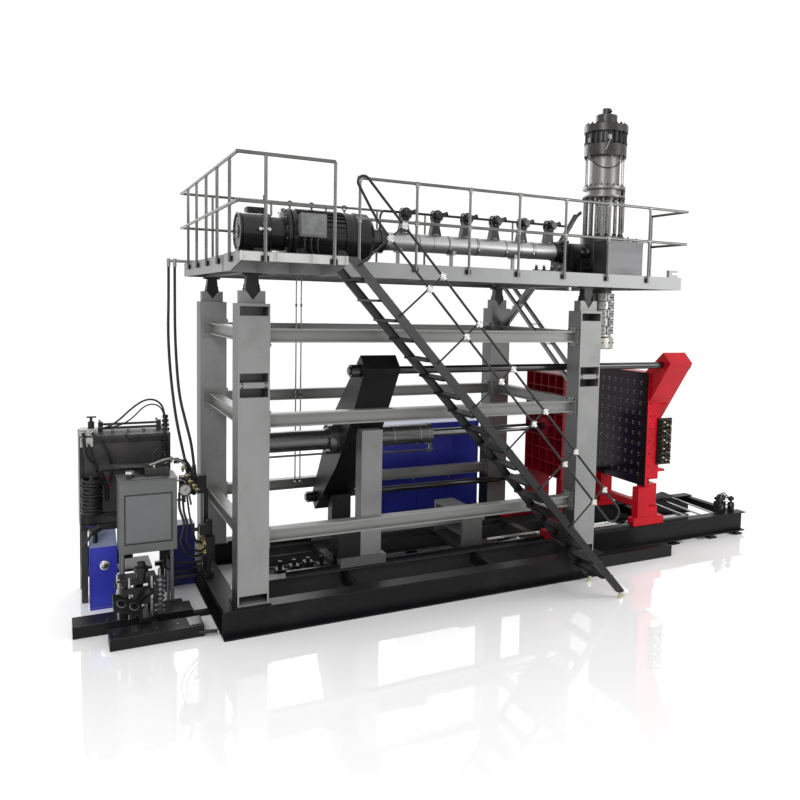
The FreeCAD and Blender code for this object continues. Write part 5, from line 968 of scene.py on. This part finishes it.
def make_service_hoses():
    """Formed pipes between the oil box, the gantry column and the clamp's feed manifold."""
    black = Piece("service_pipes_black", "hose_rubber")
    runs = (
        [(-0.5, 1.28, 1.6), (-0.52, 1.16, 1.42), (-0.46, 1.1, 1.22), (-0.52, 1.08, 0.98),
         (-0.44, 1.1, 0.8), (-0.3, 1.2, 0.72), (-0.18, 1.34, 0.72)],
        [(-0.46, 1.3, 1.58), (-0.46, 1.18, 1.36), (-0.42, 1.12, 1.2), (-0.44, 1.12, 1),
         (-0.36, 1.14, 0.84), (-0.24, 1.22, 0.78), (-0.16, 1.34, 0.78)],
        [(-0.4, 1.34, 1.56), (-0.38, 1.24, 1.3), (-0.34, 1.2, 1.06), (-0.3, 1.24, 0.92), (-0.2, 1.34, 0.86)],
        [(-0.62, 1.62, 0.86), (-0.6, 1.62, 0.62), (-0.48, 1.64, 0.52), (-0.3, 1.66, 0.5), (-0.16, 1.66, 0.5)],
        [(-0.66, 1.58, 0.86), (-0.66, 1.6, 0.5), (-0.52, 1.66, 0.4), (-0.32, 1.7, 0.38), (-0.16, 1.72, 0.42)],
    )
    for index, run in enumerate(runs):
        black.pipe(run, 0.017 - 0.002 * (index % 3), 12)


def make_service_blocks():
    block = Piece("service_blocks", "unit_black", bevel=0.004)
    block.box((-0.16, 1.28, 0.62), (-0.04, 1.78, 0.94))
    block.box((-0.13, 1.36, 0.94), (-0.06, 1.46, 1.16))
    block.box((-0.24, 1.3, 0.98), (-0.1, 1.42, 1.12))
    block.stub((-0.1, 1.6, 0.94), Z * 0.16, 0.042)
    block.stub((-0.1, 1.7, 0.94), Z * 0.1, 0.03)
    block.stub((-0.24, 1.36, 1.05), -X * 0.06, 0.026)
    block.box((-0.155, 1.3, 0.373), (-0.05, 1.76, 0.44))
    block.stub((-0.1, 1.4, 0.42), Z * 0.24, 0.024)
    block.stub((-0.1, 1.66, 0.42), Z * 0.24, 0.024)
    brass = Piece("service_fittings", "brass")
    pale = Piece("service_fitting_caps", "clamp_chrome")
    for y in steps(1.32, 0.075, 6):
        brass.stub((-0.16, y, 0.72), -X * 0.045, 0.02, 6)
        brass.stub((-0.16, y, 0.84), -X * 0.03, 0.014, 6)
        pale.stub((-0.205, y, 0.72), -X * 0.035, 0.015, 14)
    pale.box((-0.245, 1.31, 1), (-0.242, 1.41, 1.1))


def make_tank():
    pale = Piece("tank_valve_block", "machined_steel", bevel=0.006)
    pale.box((-1.66, 2.02, 2.3), (-1.44, 2.18, 2.4))
    pale.box((-1.66, 1.975, 2.16), (-1.5, 2, 2.29))
    dark = Piece("tank_valve", "unit_black", bevel=0.004)
    dark.stub((-1.52, 2.1, 2.4), Z * 0.09, 0.04)
    dark.stub((-1.52, 2.1, 2.49), Z * 0.055, 0.018)
    dark.box((-1.575, 2.085, 2.54), (-1.455, 2.115, 2.56))
    for x in (-1.62, -1.5):
        pale.stub((x, 1.99, 2.34), -Y * 0.03, 0.04)
        dark.stub((x, 1.965, 2.34), -Y * 0.065, 0.026)
    dark.box((-1.665, 1.985, 1.02), (-1.615, 2, 2.14))
    dark.box((-0.575, 1.985, 1.02), (-0.525, 2, 2.14))
    dark.box((-1.66, 1.96, 1.02), (-0.53, 2, 1.09))
    dark.box((-1.66, 1.96, 1.2), (-0.53, 2, 1.24))
    dark.box((-1.64, 1.985, 2.2), (-0.56, 2, 2.26))


def make_tank_pipes():
    hoses = Piece("tank_front_pipes", "hose_rubber")
    runs = (
        (0.022, [(-1.62, 1.9, 2.34), (-1.62, 1.86, 2.3), (-1.6, 1.86, 2.05), (-1.44, 1.9, 1.86),
                 (-1.34, 1.93, 1.6), (-1.34, 1.96, 1.42)]),
        (0.018, [(-1.5, 1.9, 2.34), (-1.46, 1.87, 2.32), (-1.34, 1.88, 2.12), (-1.28, 1.92, 1.86),
                 (-1.3, 1.95, 1.66)]),
        (0.016, [(-1.56, 1.92, 2.2), (-1.5, 1.9, 1.98), (-1.47, 1.93, 1.82)]),
        (0.012, [(-1.1, 1.98, 2.32), (-1.06, 1.95, 2.2), (-0.96, 1.95, 2.24), (-0.92, 1.98, 2.3)]),
    )
    for radius, run in runs:
        hoses.pipe(run, radius, 12)
    coil = []
    for index in range(161):
        angle = 2 * pi * index / 16
        reach = 0.118 + 0.006 * sin(1.7 * angle)
        height = 1.76 - 0.003 * index + 0.008 * sin(2.3 * angle)
        coil.append(Vector((-1.53, 1.87, height)) + turned(angle) * reach)
    hoses.pipe(coil, 0.017)


def make_tank_fittings():
    # These red fittings take the darker red, which has painted shade in it.
    red = Piece("tank_small_fittings", "red_painted_shade")
    red.stub((-1.3, 1.985, 1.6), -Y * 0.02, 0.014)
    red.box((-1.34, 1.99, 1.7), (-1.27, 2, 1.735))
    steel = Piece("tank_cooler_rings", "bolt_dark")
    for x, foot, radius in ((-0.6, 1.95, 0.046), (-0.66, 1.36, 0.036)):
        for z in steps(foot, 0.045, 7):
            profile = [(0.012, 0), (radius, 0.002), (radius, 0.016), (0.012, 0.018)]
            steel.lathe((x, 1.96, z), Z, profile, 24)
    steel.stub((-0.6, 1.96, 1.92), Z * 0.4, 0.014)
    steel.stub((-0.66, 1.96, 1.33), Z * 0.37, 0.014)
    for x in (-1.2, -1, -0.8):
        steel.stub((x, 1.985, 1.22), -Y * 0.035, 0.016, 6)
    ends = Piece("tank_top_fittings", "bolt")
    for x in (-1.4, -0.66):
        for y in (2.4, 2.44):
            ends.stub((x, y, 2.43), Z * 0.03, 0.014, 6)
    for x in (-1.25, -1.05, -0.85):
        ends.stub((x, 2.2, 2.3), Z * 0.05, 0.018)


def make_pump_box():
    badge = Piece("pump_box_badge", "clamp_chrome")
    badge.lathe((-1.39, 1.7, 0.6), -Y, [(0, 0), (0.062, 0), (0.062, 0.018), (0.048, 0.026), (0, 0.026)], 32)
    # The badge's cross slots are thin near-black plates on its face: painted shade in the slots.
    cross = Piece("pump_box_badge_slots", "dark_hole")
    cross.box((-1.395, 1.672, 0.565), (-1.385, 1.6745, 0.635))
    cross.box((-1.425, 1.672, 0.595), (-1.355, 1.6745, 0.605))
    trim = Piece("pump_box_trim", "cabinet_blue", bevel=0.002)
    trim.box((-1.573, 1.694, 0.03), (-1.56, 1.7005, 0.83))
    trim.box((-1.25, 1.694, 0.03), (-1.237, 1.7005, 0.83))
    trim.box((-1.573, 1.694, 0), (-1.237, 1.7005, 0.03))
    lever = Piece("pump_lever", "unit_black", bevel=0.004)
    lever.rod((-1.5, 1.78, 0.9), (-1.5, 1.74, 1.1), 0.03)
    lever.rod((-1.56, 1.7, 1.06), (-1.44, 1.74, 1.12), 0.055)
    lever.rod((-1.64, 1.66, 0.9), (-1.52, 1.71, 1.08), 0.016)


def make_blow_unit():
    black = Piece("blow_unit_plates", "unit_black", bevel=0.003)
    corner, along, down = Vector((-1.36, 0.8, 0.5)), Vector((0.33, 0, -0.13)), Vector((0, -0.2, -0.15))
    tilt = along.cross(down).normalized()
    tilt = tilt if tilt.z > 0 else -tilt
    black.prism([corner, corner + along, corner + along + down, corner + down], tilt * 0.02)
    black.box((-1.3, 0.8, 0.63), (-0.82, 0.84, 0.66))
    black.box((-1.32, 0.9, 0.52), (-1.28, 1.12, 0.56))
    black.stub((-1.02, 0.82, 0.62), Z * 0.24, 0.05)
    black.stub((-1.02, 0.82, 0.74), Z * 0.06, 0.085)
    black.rod((-1.12, 0.8, 0.3), (-0.96, 0.62, 0.52), 0.028)
    black.rod((-0.96, 0.62, 0.52), (-0.92, 0.6, 0.56), 0.045)
    black.box((-1.06, 0.64, 0.14), (-0.92, 0.8, 0.2))
    rims = Piece("blow_plate_rims", "bolt")
    # The bores are flat near-black discs inside the rims: painted shade standing in for the depth of each
    # hole.
    bores = Piece("blow_plate_bores", "dark_hole")
    for share in (0.28, 0.72):
        seat = corner + along * share + down * 0.5 + tilt * 0.02
        rims.lathe(seat, tilt, [(0.06, 0), (0.06, 0.003), (0.052, 0.005)], 32)
        bores.stub(seat, tilt * 0.0055, 0.045, 28)


def make_blow_rods():
    chrome = Piece("blow_disc_stack", "bolt")
    profile = []
    for base in steps(0, 0.062, 8):
        profile += [(0.03, base), (0.062, base + 0.006), (0.062, base + 0.034), (0.03, base + 0.04)]
    chrome.lathe((-0.8, 0.84, 0.16), Z, profile, 32)
    chrome.stub((-0.8, 0.84, 0.15), Z * 0.59, 0.022)
    rods = Piece("blow_guide_rods", "machined_steel")
    for x, y in ((-1.28, 0.82), (-1.28, 1), (-0.9, 0.78), (-1.16, 0.8)):
        rods.stub((x, y, 0.15), Z * 0.53, 0.018)
        rods.stub((x, y, 0.4), Z * 0.04, 0.03)


def make_skid_details():
    skid = Piece("skid_flanges", "bolt_dark", bevel=0.002)
    skid.box((-1.8, 0.795, 0.145), (-0.4, 0.83, 0.158))
    skid.box((-1.42, 0.245, 0.135), (-0.35, 0.275, 0.146))
    skid.stub((-1.762, 0.84, 0.1), Y * 0.12, 0.035)
    skid.rod((-0.42, 0.25, 0.06), (-0.2, 0.2, 0.06), 0.022)
    skid.box((-1.42, 0.245, 0), (-0.35, 0.265, 0.012))
    ends = Piece("skid_plates", "bolt", bevel=0.002)
    ends.box((-0.52, 0.3, 0.14), (-0.36, 0.56, 0.152))
    bolts = Piece("skid_bolts", "bolt")
    for x in steps(-1.7, 0.29, 5):
        bolts.bolt((x, 0.9, 0.15), Z, 0.012)
    for x in steps(-1.36, 0.24, 5):
        bolts.bolt((x, 0.42, 0.14), Z, 0.011)


def make_rear_cabinet():
    front = 3.0955
    seams = Piece("rear_cabinet_seams", "dark_hole")
    for x in (3.8, 4.51):
        seams.box((x, 3.093, 0.15), (x + 0.006, front, 1.97))
    seams.box((3.12, 3.093, 0.12), (5.19, front, 0.126))
    vents = Piece("rear_cabinet_vents", "bolt_dark")
    handles = Piece("rear_cabinet_handles", "bolt", bevel=0.003)
    for x in steps(3.27, 0.71, 3):
        handles.box((x + 0.43, 3.078, 1.02), (x + 0.455, front, 1.18))
        for z in steps(0.3, 0.035, 6):
            vents.box((x, 3.088, z), (x + 0.36, front, z + 0.015))


for build in (
    make_head, make_head_fittings, make_die, make_adaptor, make_deck_valves, make_head_cabinet, make_motor,
    make_motor_fan, make_motor_boxes, make_barrel, make_blowers, make_barrel_fittings, make_mould_faces,
    make_manifold, make_clamp_fasteners, make_clamp_cylinder_fittings, make_bed_details, make_bed_hydraulics,
    make_cloth, make_gantry_fasteners, make_column_feet, make_stair_details, make_rail_fittings, make_oil_box,
    make_oil_manifold, make_gauge, make_service_hoses, make_service_blocks, make_tank, make_tank_pipes,
    make_tank_fittings, make_pump_box, make_blow_unit, make_blow_rods, make_skid_details, make_rear_cabinet,
):
    build()
for piece in Piece.every:
    piece.finish()


# Stage: pale floor, world light and soft area lights.

def make_stage():
    bpy.ops.mesh.primitive_plane_add(size=240, location=(2, 2, 0))
    floor = bpy.context.object
    floor.name = "floor"
    floor.data.materials.append(M["floor"])
    world = bpy.data.worlds.new("world")
    world.use_nodes = True
    world.node_tree.nodes["Background"].inputs["Color"].default_value = (1, 1, 1, 1)
    world.node_tree.nodes["Background"].inputs["Strength"].default_value = 1.06
    scene.world = world
    for name, spot, target, size, power in (
        ("key", (-7, -9, 11), (3, 1, 2.5), 6, 900),
        ("side", (12, -7, 6), (5, 1, 2.5), 5, 450),
        ("back", (4, 12, 9), (3, 1, 3), 7, 500),
    ):
        data = bpy.data.lights.new(name, "AREA")
        data.size = size
        data.energy = power
        light = bpy.data.objects.new(name, data)
        light.location = spot
        light.rotation_euler = (Vector(target) - Vector(spot)).to_track_quat("-Z", "Y").to_euler()
        scene.collection.objects.link(light)


make_stage()
scene.view_settings.view_transform = "Standard"
